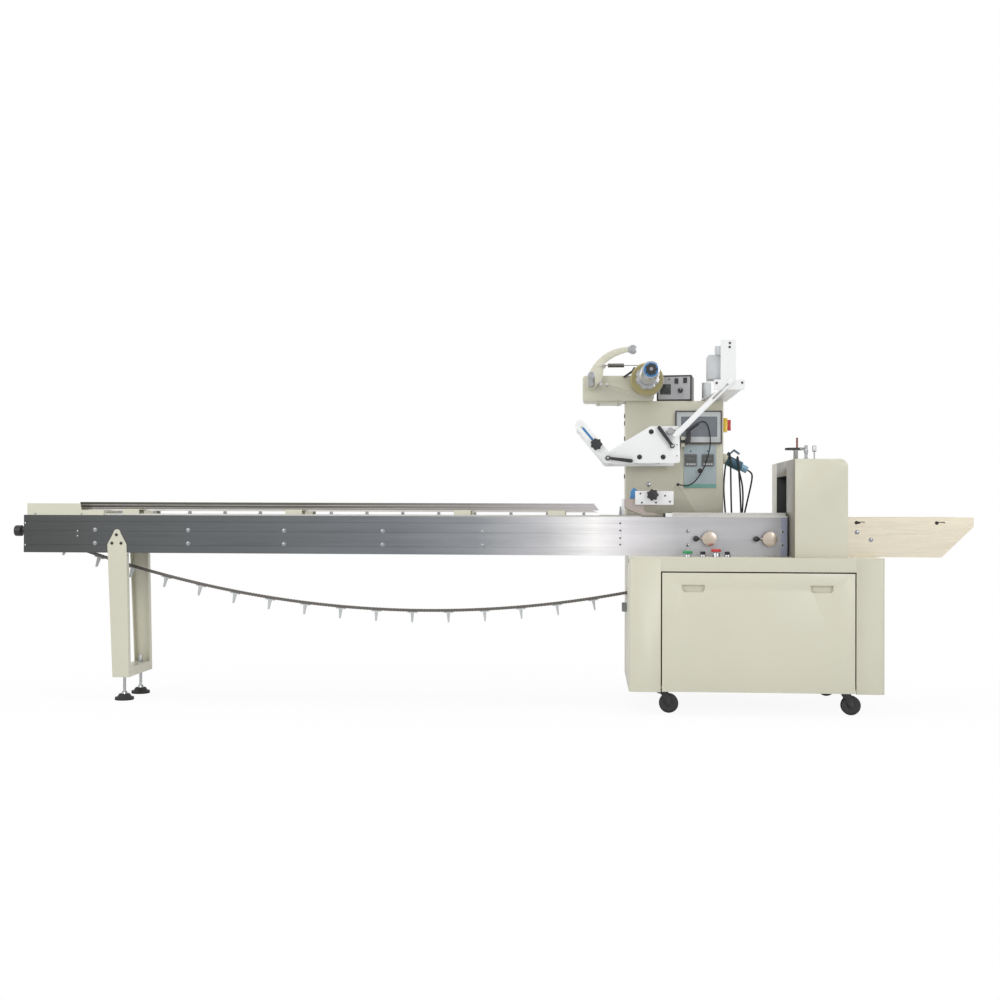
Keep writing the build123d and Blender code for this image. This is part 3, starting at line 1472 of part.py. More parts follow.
# Photo eye on the guide frame's back plate, with the sleeve its cable leaves from
eye_right = eye_left + eye_size + 10
eye_mid_z = eye_bottom + eye_size / 2
with BuildPart() as photo_eye:
    block((eye_left, eye_right), (guide_back_y, guide_back_y + 18), (eye_bottom, eye_bottom + eye_size))
    rod_y(eye_right + 26, eye_mid_z, eye_lens_r, (guide_back_y - 12, guide_back_y + 14))
    block((eye_right - 1, eye_right + 28), (guide_back_y + 2, guide_back_y + 12), (eye_mid_z - 6, eye_mid_z + 6))
    with BuildSketch(Plane(origin=eye_cable_start, z_dir=eye_cable_along)):
        Circle(eye_sleeve_r)
    extrude(amount=-eye_sleeve_length)
    block((eye_right + 22, eye_right + 40), (guide_back_y - 2, guide_back_y + 8), (eye_mid_z + 4, eye_mid_z + 50))
finish(photo_eye, "photo_eye")

# Mains plug on the stub at the column's side
with BuildPart() as mains_plug:
    with BuildSketch(plug_plane):
        Circle(plug_r)
    extrude(amount=plug_body_length)
    fillet(mains_plug.edges().filter_by(GeomType.CIRCLE).sort_by(SortBy.DISTANCE, reverse=True)[0:1], 3)
    with BuildSketch(plug_plane.offset(plug_body_length)):
        Circle(plug_collar_r)
    extrude(amount=plug_collar_length)
finish(mains_plug, "mains_plug")


def cord(name, points, radius):
    """Lay a round cord along straight runs joined by tangent arcs, and print its arc radii."""
    corners = [Vector(*point) for point in points]
    radii = []
    for before, corner, after in zip(corners, corners[1:], corners[2:]):
        arrive = corner - before
        leave = after - corner
        shorter = min(arrive.length, leave.length)
        radii.append(0.45 * shorter / math.tan(math.radians(arrive.get_angle(leave)) / 2))
    with BuildPart() as tube:
        with BuildLine() as route:
            FilletPolyline(*points, radius=radii)
        with BuildSketch(Plane(origin=corners[0], z_dir=corners[1] - corners[0])):
            Circle(radius)
        sweep(path=route.wire())
    length = route.wire().length
    print(name, "length", round(length), "volume share", round(tube.part.volume / (math.pi * radius**2 * length), 4),
          "radii", [round(value) for value in radii])
    finish(tube, name)


# Mains lead: from the plug, twice over it in long hanging loops, and down to its gland
lead_start = plug_plane.offset(plug_body_length + plug_collar_length).origin
cord(
    "mains_lead",
    [
        tuple(lead_start),
        tuple(lead_start + plug_plane.z_dir * 15.6), (1107.5, 231.5, 908), (1104, 242, 872), (1090, 262, 800), (1073, 275, 716),
        (1066, 278, 644), (1064, 254, 620), (1061, 220, 620), (1059, 196, 644),
        (1058, 194, 720), (1054, 196, 830), (1048, 198, 925),
        (1047, 198.5, 960), (1046, 217, 983), (1046, 243, 983), (1048, 261.5, 960),
        (1058, 262, 920), (1074, 263, 850), (1070, 263, 740),
        (1060, 262, 656), (1052, 240, 634), (1038, 212, 634), (1026, 190, 656),
        (1018, 192, 740), (1016, 196, 850), (1015, 198, 935),
        (1014, 198.5, 976), (1012, 217, 1000), (1008, 243, 1000), (1004, 261.5, 976),
        (998, 263, 930), (992, 262, 860), (998, 258, 770), (1005, 255, 690),
        (gland_x, gland_y, cabinet_top_z + gland_height + 40), (gland_x, gland_y, cabinet_top_z + gland_height),
    ],
    lead_r,
)

# Sensor cable: from the photo eye, across the screen, and into its grommet on the column
cord(
    "sensor_cable",
    [
        eye_cable_start,
        (883.8, 114, 1120.6), (894.7, 115, 1122.3), (905.1, 116, 1118.7), (914, 117, 1109),
        (922, 119, 1080), (926, 120.5, 1040), (920, 121, 995), (905, 121, 945), (882, 121, 902),
        (858, 118, 873), (833, 112, 860), (815, 114, 862), (grommet_x, column_front - 23, grommet_z),
        (grommet_x, column_front - grommet_height, grommet_z),
    ],
    sensor_cable_r,
)
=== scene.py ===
# %% [markdown]
# A horizontal flow-wrapping machine, dressed for its portrait.
# The frame brings every solid of the machine in metres, with +X along the product's travel, +Y away
# from the operator and +Z up. We add finishes, small parts and light, and never move a solid.

# %% Open the frame
import math

import bmesh
import bpy
from mathutils import Matrix, Vector


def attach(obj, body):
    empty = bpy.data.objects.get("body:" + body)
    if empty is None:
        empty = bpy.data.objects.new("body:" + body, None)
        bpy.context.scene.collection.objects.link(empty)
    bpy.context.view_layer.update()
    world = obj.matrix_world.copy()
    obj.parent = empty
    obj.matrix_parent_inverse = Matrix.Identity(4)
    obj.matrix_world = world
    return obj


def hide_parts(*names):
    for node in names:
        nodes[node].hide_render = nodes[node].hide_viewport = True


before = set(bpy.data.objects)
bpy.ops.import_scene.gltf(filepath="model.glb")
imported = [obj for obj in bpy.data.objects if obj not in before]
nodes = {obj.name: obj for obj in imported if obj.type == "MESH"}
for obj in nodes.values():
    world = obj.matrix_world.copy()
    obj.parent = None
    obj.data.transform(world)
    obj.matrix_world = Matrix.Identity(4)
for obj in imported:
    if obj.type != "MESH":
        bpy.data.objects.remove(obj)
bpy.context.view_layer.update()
MACHINE = "machine"

# %% [markdown]
# The camera stands about five metres in front of the machine at table height, turned a little to
# the left, as a photographer stands to get the whole infeed in. A long lens keeps the beam straight.

# %% Camera
CAMERA_PLACE = Vector((0.4393, -5.27, 0.7605))
CAMERA_YAW = math.radians(3.9)
CAMERA_PITCH = math.radians(0.434)
CAMERA_ROLL = math.radians(0.2)
LENS_MM = 47.52

camera_data = bpy.data.cameras.new("camera")
camera_data.lens = LENS_MM
camera_data.sensor_width = 36.0
camera = bpy.data.objects.new("camera", camera_data)
aim = Matrix.Rotation(CAMERA_YAW, 4, "Z") @ Matrix.Rotation(math.radians(90) + CAMERA_PITCH, 4, "X")
camera.matrix_world = Matrix.Translation(CAMERA_PLACE) @ aim @ Matrix.Rotation(CAMERA_ROLL, 4, "Z")
bpy.context.scene.collection.objects.link(camera)
bpy.context.scene.camera = camera
bpy.context.scene.view_settings.view_transform = "Standard"
print("camera at", tuple(round(value, 3) for value in CAMERA_PLACE), "with a lens of", LENS_MM, "mm")

# %% [markdown]
# Small helpers come first. A piece is a mesh that rides on one body of the machine, and nearly all
# small parts here are turned profiles, bent strips or rows of one thing, so those get a helper each.

# %% Mesh helpers
TO_FRONT = (0, -1, 0)
UP = (0, 0, 1)
SMOOTH_ANGLE = math.radians(34)
BEVEL_ANGLE = math.radians(32)


def mm(x, y, z):
    """A place in the machine's millimetres, as metres."""
    return Vector((x, y, z)) / 1000


def on_circle(radius, angle, height=0.0):
    """A point on a circle round the Z line, at a height."""
    return Vector((radius * math.cos(angle), radius * math.sin(angle), height))


def new_piece(name, mesh_code, material, body=MACHINE):
    """Turn filled mesh code into an object with its finish, riding on a body."""
    bmesh.ops.recalc_face_normals(mesh_code, faces=mesh_code.faces)
    mesh = bpy.data.meshes.new(name)
    mesh_code.to_mesh(mesh)
    mesh_code.free()
    mesh.materials.append(material)
    mesh.shade_smooth()
    mesh.set_sharp_from_angle(angle=SMOOTH_ANGLE)
    print("made", name, "with", len(mesh.polygons), "faces")
    piece = bpy.data.objects.new(name, mesh)
    bpy.context.scene.collection.objects.link(piece)
    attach(piece, body)
    return piece


def basis(place, direction, toward=None):
    """A matrix whose Z runs along direction, standing at place."""
    z_axis = Vector(direction).normalized()
    guess = Vector(toward) if toward else Vector(UP)
    if abs(z_axis.dot(guess.normalized())) > 0.98:
        guess = Vector((1, 0, 0))
    x_axis = (guess - z_axis * guess.dot(z_axis)).normalized()
    y_axis = z_axis.cross(x_axis)
    matrix = Matrix((x_axis, y_axis, z_axis)).transposed().to_4x4()
    return Matrix.Translation(Vector(place)) @ matrix


def turn(bm, profile, place, direction, steps=32):
    """Revolve a profile of (radius, height) points about a line through place."""
    matrix = basis(place, direction)
    rings = []
    for radius, height in profile:
        if radius < 1e-6:
            rings.append([bm.verts.new(matrix @ Vector((0, 0, height)))])
            continue
        ring = []
        for step in range(steps):
            ring.append(bm.verts.new(matrix @ on_circle(radius, math.tau * step / steps, height)))
        rings.append(ring)
    for low, high in zip(rings, rings[1:]):
        for step in range(steps):
            after = (step + 1) % steps
            corners = []
            for vert in (low[step % len(low)], low[after % len(low)], high[after % len(high)],
                         high[step % len(high)]):
                if vert not in corners:
                    corners.append(vert)
            if len(corners) > 2:
                bm.faces.new(corners)
    for ring, flip in ((rings[0], True), (rings[-1], False)):
        if len(ring) > 2:
            bm.faces.new(ring[::-1] if flip else ring)


def turn_mm(bm, profile, place, direction, steps=32):
    """Revolve a profile given in millimetres, about a line through a place in millimetres."""
    turn(bm, [(radius / 1000, height / 1000) for radius, height in profile], mm(*place), direction, steps)


def slab(bm, low, high):
    """Add a plain block between two corners, for parts that get their edges from a bevel."""
    verts = []
    for x in (low[0], high[0]):
        for y in (low[1], high[1]):
            for z in (low[2], high[2]):
                verts.append(bm.verts.new((x, y, z)))
    for face in ((0, 1, 3, 2), (4, 6, 7, 5), (0, 4, 5, 1), (2, 3, 7, 6), (0, 2, 6, 4), (1, 5, 7, 3)):
        bm.faces.new([verts[i] for i in face])


def plate(bm, outline, place, direction, thickness, toward=None):
    """Extrude an outline of (x, y) points along direction, from place."""
    matrix = basis(place, direction, toward)
    low = [bm.verts.new(matrix @ Vector((x, y, 0))) for x, y in outline]
    high = [bm.verts.new(matrix @ Vector((x, y, thickness))) for x, y in outline]
    bm.faces.new(low[::-1])
    bm.faces.new(high)
    for i in range(len(outline)):
        j = (i + 1) % len(outline)
        bm.faces.new((low[i], low[j], high[j], high[i]))


def round_edges(piece, width, segments=2):
    """Round the edges of a piece a little, so that they catch the light."""
    bevel = piece.modifiers.new("edge_round", "BEVEL")
    bevel.width = width
    bevel.segments = segments
    bevel.limit_method = "ANGLE"
    bevel.angle_limit = BEVEL_ANGLE
    bevel.harden_normals = True


# %% [markdown]
# Finishes are built from nodes. Each starts as one shader with a colour, then gets what the real
# surface has: the orange peel of sprayed paint, the long scratches of brushed metal, the grain of
# moulded plastic. Object coordinates in metres keep the scale of that grain true everywhere.

# %% Finish helpers
def start_finish(name, colour, roughness, metallic=0.0):
    """Make a material with one shader, and return it with its nodes at hand."""
    material = bpy.data.materials.new(name)
    material.use_nodes = True
    shader = material.node_tree.nodes["Principled BSDF"]
    shader.inputs["Base Color"].default_value = (*colour, 1.0)
    shader.inputs["Roughness"].default_value = roughness
    shader.inputs["Metallic"].default_value = metallic
    print("finish", name, "with roughness", roughness)
    return material, shader


def object_noise(material, scale, stretch=(1, 1, 1), detail=3.0, rough=0.55):
    """Add a noise in object space, stretched per axis, and return its output socket."""
    tree = material.node_tree
    place = tree.nodes.new("ShaderNodeTexCoord")
    mapping = tree.nodes.new("ShaderNodeMapping")
    mapping.inputs["Scale"].default_value = stretch
    noise = tree.nodes.new("ShaderNodeTexNoise")
    noise.inputs["Scale"].default_value = scale
    noise.inputs["Detail"].default_value = detail
    noise.inputs["Roughness"].default_value = rough
    tree.links.new(place.outputs["Object"], mapping.inputs["Vector"])
    tree.links.new(mapping.outputs["Vector"], noise.inputs["Vector"])
    return noise.outputs["Fac"]


def shade_by(material, shader, value, dark, light, low=0.35, high=0.65):
    """Let the base colour wander between two near colours."""
    tree = material.node_tree
    ramp = tree.nodes.new("ShaderNodeValToRGB")
    ramp.color_ramp.elements[0].position = low
    ramp.color_ramp.elements[1].position = high
    ramp.color_ramp.elements[0].color = (*dark, 1.0)
    ramp.color_ramp.elements[1].color = (*light, 1.0)
    tree.links.new(value, ramp.inputs["Fac"])
    tree.links.new(ramp.outputs["Color"], shader.inputs["Base Color"])


def roughen_by(material, shader, value, low, high):
    """Let the roughness wander between two values."""
    tree = material.node_tree
    spread = tree.nodes.new("ShaderNodeMapRange")
    spread.inputs["From Min"].default_value = 0.3
    spread.inputs["From Max"].default_value = 0.7
    spread.inputs["To Min"].default_value = low
    spread.inputs["To Max"].default_value = high
    tree.links.new(value, spread.inputs["Value"])
    tree.links.new(spread.outputs["Result"], shader.inputs["Roughness"])


def bump_by(material, shader, value, depth, strength=1.0):
    """Raise the surface by a value, to a depth in metres."""
    tree = material.node_tree
    bump = tree.nodes.new("ShaderNodeBump")
    bump.inputs["Distance"].default_value = depth
    bump.inputs["Strength"].default_value = strength
    tree.links.new(value, bump.inputs["Height"])
    tree.links.new(bump.outputs["Normal"], shader.inputs["Normal"])


# %% [markdown]
# The machine's main finish is sprayed cream enamel: a warm off-white with a faint orange peel, a
# soft gloss and a trace of grime that shifts its tone over the large sheets.

# %% Painted finishes
def painted(name, colour, roughness=0.38, peel=0.00006):
    """Sprayed enamel with a wandering tone and orange peel of a depth in metres."""
    material, shader = start_finish(name, colour, roughness)
    tone = object_noise(material, 2.3, detail=5.0)
    darker = tuple(c * 0.955 for c in colour)
    shade_by(material, shader, tone, darker, colour)
    roughen_by(material, shader, object_noise(material, 9.0), roughness - 0.05, roughness + 0.09)
    bump_by(material, shader, object_noise(material, 420.0, detail=2.0), peel, 0.5)
    shader.inputs["Coat Weight"].default_value = 0.15
    shader.inputs["Coat Roughness"].default_value = 0.2
    return material


cream_enamel = painted("cream_enamel", (0.640, 0.625, 0.505))
white_enamel = painted("white_enamel", (0.84, 0.85, 0.85), 0.34)
khaki_enamel = painted("khaki_enamel", (0.42, 0.37, 0.18), 0.42)

# %% [markdown]
# Bare metal comes as rolled sheet, turned chrome, anodised plate and the dark oiled steel of the
# chain. The scratches are one noise, drawn out along X on sheet and beams, that drives colour,
# roughness and bump together. One could paint such streaks, but a noise holds up at any zoom.
# The long beams mirror the room unevenly from end to end. That is painted reflection along X in their
# colour: dark at the left end, lighter to the right, with a painted highlight.

# %% Metal finishes
def brushed(name, colour, roughness, stretch, depth=0.00002, metallic=1.0):
    """Bare metal with scratches, drawn out along the axis that has the least stretch."""
    material, shader = start_finish(name, colour, roughness, metallic)
    streaks = object_noise(material, 14.0, stretch, detail=6.0, rough=0.7)
    darker = tuple(c * 0.86 for c in colour)
    shade_by(material, shader, streaks, darker, colour, 0.3, 0.7)
    roughen_by(material, shader, streaks, roughness - 0.07, roughness + 0.10)
    bump_by(material, shader, streaks, depth, 0.6)
    return material


dark_anodised = brushed("dark_anodised", (0.13, 0.13, 0.14), 0.38, (1.0, 60.0, 60.0))
rolled_steel = brushed("rolled_steel", (0.62, 0.61, 0.58), 0.30, (1.0, 25.0, 25.0))
spun_steel = brushed("spun_steel", (0.60, 0.52, 0.44), 0.25, (30.0, 30.0, 30.0))
bright_chrome = brushed("bright_chrome", (0.43, 0.44, 0.45), 0.18, (8.0, 8.0, 8.0), 0.000004)
oiled_steel = brushed("oiled_steel", (0.16, 0.15, 0.14), 0.42, (20.0, 20.0, 20.0))
bluish_steel = brushed("bluish_steel", (0.34, 0.36, 0.46), 0.34, (1.0, 60.0, 60.0))
polished_sheet = brushed("polished_sheet", (0.74, 0.68, 0.55), 0.30, (0.6, 40.0, 40.0))
former_steel = brushed("former_steel", (0.52, 0.45, 0.41), 0.34, (12.0, 12.0, 12.0))


def paint_reflection_along(finish, axis, low, high, stops):
    """Paint reflection into a metal's colour along one axis, from low to high in metres, through (share,
    colour) stops.
    """
    tree = finish.node_tree
    shader = tree.nodes["Principled BSDF"]
    place = tree.nodes.new("ShaderNodeTexCoord")
    split = tree.nodes.new("ShaderNodeSeparateXYZ")
    spread = tree.nodes.new("ShaderNodeMapRange")
    spread.inputs["From Min"].default_value = low
    spread.inputs["From Max"].default_value = high
    ramp = tree.nodes.new("ShaderNodeValToRGB")
    while len(ramp.color_ramp.elements) < len(stops):
        ramp.color_ramp.elements.new(0.5)
    for element, (share, colour) in zip(ramp.color_ramp.elements, stops):
        element.position = share
        element.color = (*colour, 1.0)
    mixed = tree.nodes.new("ShaderNodeMix")
    mixed.data_type = "RGBA"
    mixed.blend_type = "MULTIPLY"
    mixed.inputs["Factor"].default_value = 1.0
    streaks = shader.inputs["Base Color"].links[0].from_socket
    tree.links.new(place.outputs["Object"], split.inputs["Vector"])
    tree.links.new(split.outputs[axis], spread.inputs["Value"])
    tree.links.new(spread.outputs["Result"], ramp.inputs["Fac"])
    tree.links.new(ramp.outputs["Color"], mixed.inputs["A"])
    tree.links.new(streaks, mixed.inputs["B"])
    tree.links.new(mixed.outputs["Result"], shader.inputs["Base Color"])


# Painted reflection on the machine beams: darkest at the left end, a painted highlight near X 0.46 m, duller
# again at the right end.
beam_aluminium = brushed("beam_aluminium", (0.97, 0.97, 0.97), 0.40, (0.15, 1.0, 2.5))
paint_reflection_along(beam_aluminium, "X", -1.82, 1.2, [
    (0.0, (0.085, 0.088, 0.086)), (0.33, (0.145, 0.155, 0.162)), (0.50, (0.205, 0.220, 0.235)),
    (0.60, (0.310, 0.325, 0.345)), (0.69, (0.580, 0.580, 0.600)), (0.755, (1.0, 0.985, 0.98)),
    (0.80, (0.780, 0.765, 0.790)), (0.86, (0.560, 0.555, 0.575)), (1.0, (0.440, 0.440, 0.455)),
])
# Painted reflection on the guide rails: dark at the left end, lighter towards the former.
rail_bronze = brushed("rail_bronze", (0.95, 0.95, 0.95), 0.34, (0.6, 40.0, 40.0))
paint_reflection_along(rail_bronze, "X", -1.62, 0.48, [
    (0.0, (0.085, 0.080, 0.070)), (0.45, (0.150, 0.140, 0.125)), (0.75, (0.30, 0.28, 0.27)),
    (1.0, (0.60, 0.57, 0.58)),
])

# %% [markdown]
# Plastics and rubber are told apart by their gloss and grain. Moulded black has a fine spark
# texture, rubber is duller and a little dusty, and caps and lenses are glossy.

# %% Plastic and rubber finishes
def moulded(name, colour, roughness, grain=900.0, depth=0.00004, coat=0.0):
    """Plastic or rubber with a fine grain, and a clear coat for caps and lenses."""
    material, shader = start_finish(name, colour, roughness)
    tone = object_noise(material, 18.0, detail=4.0)
    lighter = tuple(min(1.0, c * 1.12 + 0.004) for c in colour)
    shade_by(material, shader, tone, colour, lighter)
    bump_by(material, shader, object_noise(material, grain, detail=1.0), depth, 0.35)
    shader.inputs["Coat Weight"].default_value = coat
    return material


black_moulding = moulded("black_moulding", (0.018, 0.018, 0.020), 0.42)
black_rubber = moulded("black_rubber", (0.016, 0.016, 0.016), 0.62, 500.0, 0.00008)
grey_moulding = moulded("grey_moulding", (0.25, 0.26, 0.27), 0.5)
pale_grey_moulding = moulded("pale_grey_moulding", (0.52, 0.54, 0.55), 0.45)
signal_red = moulded("signal_red", (0.52, 0.02, 0.015), 0.28, coat=0.4)
signal_green = moulded("signal_green", (0.01, 0.27, 0.09), 0.28, coat=0.4)
signal_yellow = moulded("signal_yellow", (0.75, 0.50, 0.02), 0.33, coat=0.3)
signal_blue = moulded("signal_blue", (0.05, 0.23, 0.50), 0.33, coat=0.3)
plug_blue = moulded("plug_blue", (0.030, 0.105, 0.155), 0.36, coat=0.2)
belt_green = moulded("belt_green", (0.05, 0.075, 0.06), 0.6, 700.0, 0.0001)
lens_glass = moulded("lens_glass", (0.055, 0.060, 0.062), 0.12, coat=0.8)
screen_glass = moulded("screen_glass", (0.135, 0.155, 0.180), 0.15, coat=0.8)
plug_collar_blue = moulded("plug_collar_blue", (0.25, 0.45, 0.60), 0.34, coat=0.3)
crank_brown = moulded("crank_brown", (0.16, 0.035, 0.02), 0.35, coat=0.3)
regulator_grey = moulded("regulator_grey", (0.11, 0.11, 0.11), 0.45)
dim_segment = moulded("dim_segment", (0.22, 0.23, 0.22), 0.4)
teal_film = moulded("teal_film", (0.16, 0.38, 0.33), 0.4)
dark_rim = moulded("dark_rim", (0.055, 0.050, 0.058), 0.4)
panel_blue_grey = painted("panel_blue_grey", (0.42, 0.50, 0.53), 0.4)
faceplate_grey = painted("faceplate_grey", (0.44, 0.44, 0.46), 0.42)
# Painted shade: a darker taupe, in place of cream, for the hood faces that look left.
hood_left_shade_enamel = painted("hood_left_shade_enamel", (0.235, 0.215, 0.165), 0.4)

# %% [markdown]
# Now every solid gets its finish. The shape comes from the frame; a weld joins the imported
# faces, and a narrow bevel rounds the folds and cut edges as real sheet is rounded.

# %% Finishes on the solids
FINISH_OF = {
    "access_panel": cream_enamel, "brake_band": rolled_steel, "brake_drum": khaki_enamel,
    "cabinet_floor": cream_enamel, "cabinet_walls": cream_enamel, "cabinet_top": cream_enamel,
    "chain_pushers": pale_grey_moulding, "chain_supports": rolled_steel, "clamp_levers": black_moulding,
    "coder_bracket": white_enamel, "coder_link_arm": white_enamel, "column": cream_enamel,
    "control_panel": panel_blue_grey, "controller_box": black_moulding, "dancer_arm": cream_enamel,
    "dancer_spring": oiled_steel, "date_coder": pale_grey_moulding, "film_former": former_steel,
    "film_guide_frame": white_enamel, "former_bracket": white_enamel, "front_lever_left": spun_steel,
    "front_lever_right": spun_steel, "guide_rails": rail_bronze, "handwheel": black_moulding,
    "head_box": cream_enamel, "hood_back_cheek": cream_enamel, "hood_front_cheek": cream_enamel,
    "hood_lid": cream_enamel, "infeed_beam": beam_aluminium, "infeed_deck": rolled_steel,
    "infeed_brackets": cream_enamel, "leg_frame": cream_enamel, "levelling_feet": black_rubber,
    "machine_beam": beam_aluminium, "machine_table": rolled_steel, "main_switch_base": signal_yellow,
    "main_switch_handle": signal_red, "mains_plug": plug_blue, "outfeed_belt": belt_green,
    "outfeed_frame": polished_sheet, "photo_eye": black_moulding, "pusher_chain_return_run": oiled_steel,
    "pusher_chain_top_run": oiled_steel, "mains_lead": black_rubber,
    "sensor_cable": black_rubber, "reel_arbor": bright_chrome,
    "sealing_jaws": oiled_steel, "slotted_guide_arm": white_enamel, "start_button": signal_green,
    "stop_button": signal_red, "tail_adjuster": black_moulding, "touch_screen": black_moulding,
}
EDGE_MM = {"cabinet_walls": 1.2, "cabinet_top": 1.5, "access_panel": 1.5, "hood_front_cheek": 3.0,
           "hood_back_cheek": 3.0, "hood_lid": 0.6, "head_box": 1.5, "column": 1.0}
CORNERS = ("front_left", "back_left", "front_right", "back_right")
for corner in CORNERS:
    FINISH_OF[f"caster_fork_{corner}"] = black_moulding
    FINISH_OF[f"caster_wheel_{corner}"] = black_rubber

FLAT_SHEETS = {
    "machine_beam", "infeed_beam", "infeed_deck", "machine_table", "outfeed_frame", "film_former",
    "guide_rails", "leg_frame", "infeed_brackets", "coder_bracket", "controller_box", "touch_screen",
    "control_panel", "pusher_chain_top_run", "pusher_chain_return_run", "chain_pushers",
}
COMMON_EDGE_MM = 0.5
SOLID_SMOOTH_ANGLE = math.radians(32)
WELD_REACH = 0.00001
for name, solid in nodes.items():
    solid.data.materials.clear()
    solid.data.materials.append(FINISH_OF[name])
    if name in FLAT_SHEETS:
        solid.data.shade_flat()
    else:
        solid.data.shade_smooth()
        solid.data.set_sharp_from_angle(angle=SOLID_SMOOTH_ANGLE)
    weld = solid.modifiers.new("weld", "WELD")
    weld.merge_threshold = WELD_REACH
    if "chain" not in name:
        round_edges(solid, EDGE_MM.get(name, COMMON_EDGE_MM) / 1000)
print("finished solids", len(nodes))

# %% [markdown]
# Some solids hold two materials, such as a knob fused to its arm. We give single faces their own
# finish there, picked by where the face's middle lies, in the machine's millimetres.

# %% Faces with a finish of their own
def paint_faces(name, finish, test):
    """Give the faces of a solid that pass a test on middle and normal their own finish."""
    mesh = nodes[name].data
    mesh.materials.append(finish)
    count = 0
    for face in mesh.polygons:
        if test(face.center * 1000, face.normal):
            face.material_index = len(mesh.materials) - 1
            count += 1
    print("painted", count, "faces of", name, finish.name)


ARM_FACE_Y = -238.6
BRACKET_FACE_Y = -130.2
CABINET_TOP_Z = 586.5
SQUARE_TO_AXIS = 0.9
ALONG_AXIS = 0.5
LEVER_STEM = 33
paint_faces("slotted_guide_arm", black_moulding, lambda c, n: c.y < ARM_FACE_Y)
paint_faces("former_bracket", black_moulding, lambda c, n: c.y < BRACKET_FACE_Y)
paint_faces("reel_arbor", black_moulding, lambda c, n: c.y < -291.5)
paint_faces("levelling_feet", bright_chrome, lambda c, n: c.z > 24.2)
paint_faces("dancer_arm", bright_chrome, lambda c, n: c.y < 105.5 or (c.x > 592 and c.z > 1394))
paint_faces("film_guide_frame", bright_chrome, lambda c, n: -238 < c.y < 104 or c.y > 112)
paint_faces("cabinet_top", bright_chrome, lambda c, n: c.z > CABINET_TOP_Z and c.y < 0)
paint_faces("cabinet_top", black_moulding, lambda c, n: c.z > CABINET_TOP_Z and c.y > 0)
paint_faces("column", black_moulding, lambda c, n: c.y < 149.9 or c.x > 981.5)
paint_faces("mains_plug", plug_collar_blue, lambda c, n: c.x > 1063)
paint_faces("handwheel", bright_chrome, lambda c, n: c.z < 1000.5)
paint_faces("handwheel", crank_brown, lambda c, n: c.z > 1009.5)
paint_faces("start_button", bright_chrome, lambda c, n: c.z < 597)
paint_faces("stop_button", bright_chrome, lambda c, n: c.z < 604)
paint_faces("touch_screen", pale_grey_moulding, lambda c, n: n.y < -SQUARE_TO_AXIS and c.y < 136.5)
paint_faces("touch_screen", screen_glass, lambda c, n: n.y < -SQUARE_TO_AXIS and c.y > 137)
paint_faces("control_panel", regulator_grey, lambda c, n: c.y < 145.5)
# Painted shade: the faces of the front cheek and the lid that look left get the darker taupe.
paint_faces("hood_front_cheek", hood_left_shade_enamel, lambda c, n: n.x < -SQUARE_TO_AXIS)
paint_faces("hood_lid", hood_left_shade_enamel, lambda c, n: n.x < -SQUARE_TO_AXIS)
# Painted shade: the faces inside the tunnel, on both cheeks and the lid, turn black rubber so that the
# tunnel reads dark.
for hood_piece in ("hood_front_cheek", "hood_back_cheek", "hood_lid"):
    paint_faces(hood_piece, black_rubber,
                lambda c, n: -86 < c.y < 186 and c.z < 950 and abs(n.x) < ALONG_AXIS)
for lever, lever_x in (("front_lever_left", 895), ("front_lever_right", 1124)):
    paint_faces(lever, black_moulding, lambda c, n: c.x < lever_x - LEVER_STEM or abs(n.y) < ALONG_AXIS)
for corner in CORNERS:
    paint_faces(f"caster_wheel_{corner}", black_moulding, lambda c, n: abs(n.y) > SQUARE_TO_AXIS)

# %% [markdown]
# Screws are turned from one small profile: a low dome with a sunk socket. Each group below is the
# set that holds one panel or rail, so a group is one piece with many heads.

# %% Screws
WASHER_THICK = 1.2


def domed_head(bm, place, radius, direction):
    """Add a domed screw head with a sunk socket."""
    profile = [(0, 0.2), (0.42, 0.2), (0.42, 0.68), (0.78, 0.58), (0.97, 0.3), (1.0, 0.0)]
    turn(bm, [(r * radius, h * radius) for r, h in profile], place, direction, 20)


def screws(name, places, y, radius, finish=None, body=MACHINE, washer=0.0):
    """Add heads at (x, z) places on a face that looks at the operator, with washers if asked."""
    bm = bmesh.new()
    for x, z in places:
        domed_head(bm, mm(x, y, z), radius / 1000, TO_FRONT)
        if washer:
            ring = [(washer, 0), (washer, WASHER_THICK), (radius, WASHER_THICK)]
            turn_mm(bm, ring, (x, y, z), TO_FRONT, 24)
    return new_piece(name, bm, finish or bright_chrome, body)


BEAM_FACE_Y = -158.0
LEG_FACE_Y = -161.0
CODER_FACE_Y = -268.0
GUIDE_PLATE_Y = -245.0
COLUMN_FACE_Y = 150.0
rail_pairs = [(x, z) for x in (-1517, -1141, -758, -368, 25) for z in (677, 624)]
screws("infeed_rail_screws", rail_pairs, BEAM_FACE_Y, 6.5, washer=8.5)
screws("infeed_tail_screws", [(-1801, 702), (-1801, 615), (-1588, 671), (-1588, 652)], BEAM_FACE_Y, 4.5)
screws("machine_beam_screws", [(814, 682), (814, 628), (1173, 681), (1173, 630)], BEAM_FACE_Y, 6.0, washer=8)
screws("joint_screws", [(556, z) for z in (711, 683, 654, 629)], BEAM_FACE_Y, 3.5, black_moulding)
screws("leg_screws", [(-1430, 657), (-1448, 624), (-1411, 624)], LEG_FACE_Y, 4.5, black_moulding,
       washer=6)
screws("outfeed_screws", [(1455, 680), (1507, 652)], BEAM_FACE_Y, 6.5, washer=9)
screws("outfeed_slot_screws", [(1453, 717), (1753, 717)], BEAM_FACE_Y, 7.0, black_moulding)
screws("coder_screws", [(962, 1391), (961, 1376), (913, 1241), (1008, 1242)], CODER_FACE_Y, 4.5,
       black_moulding)
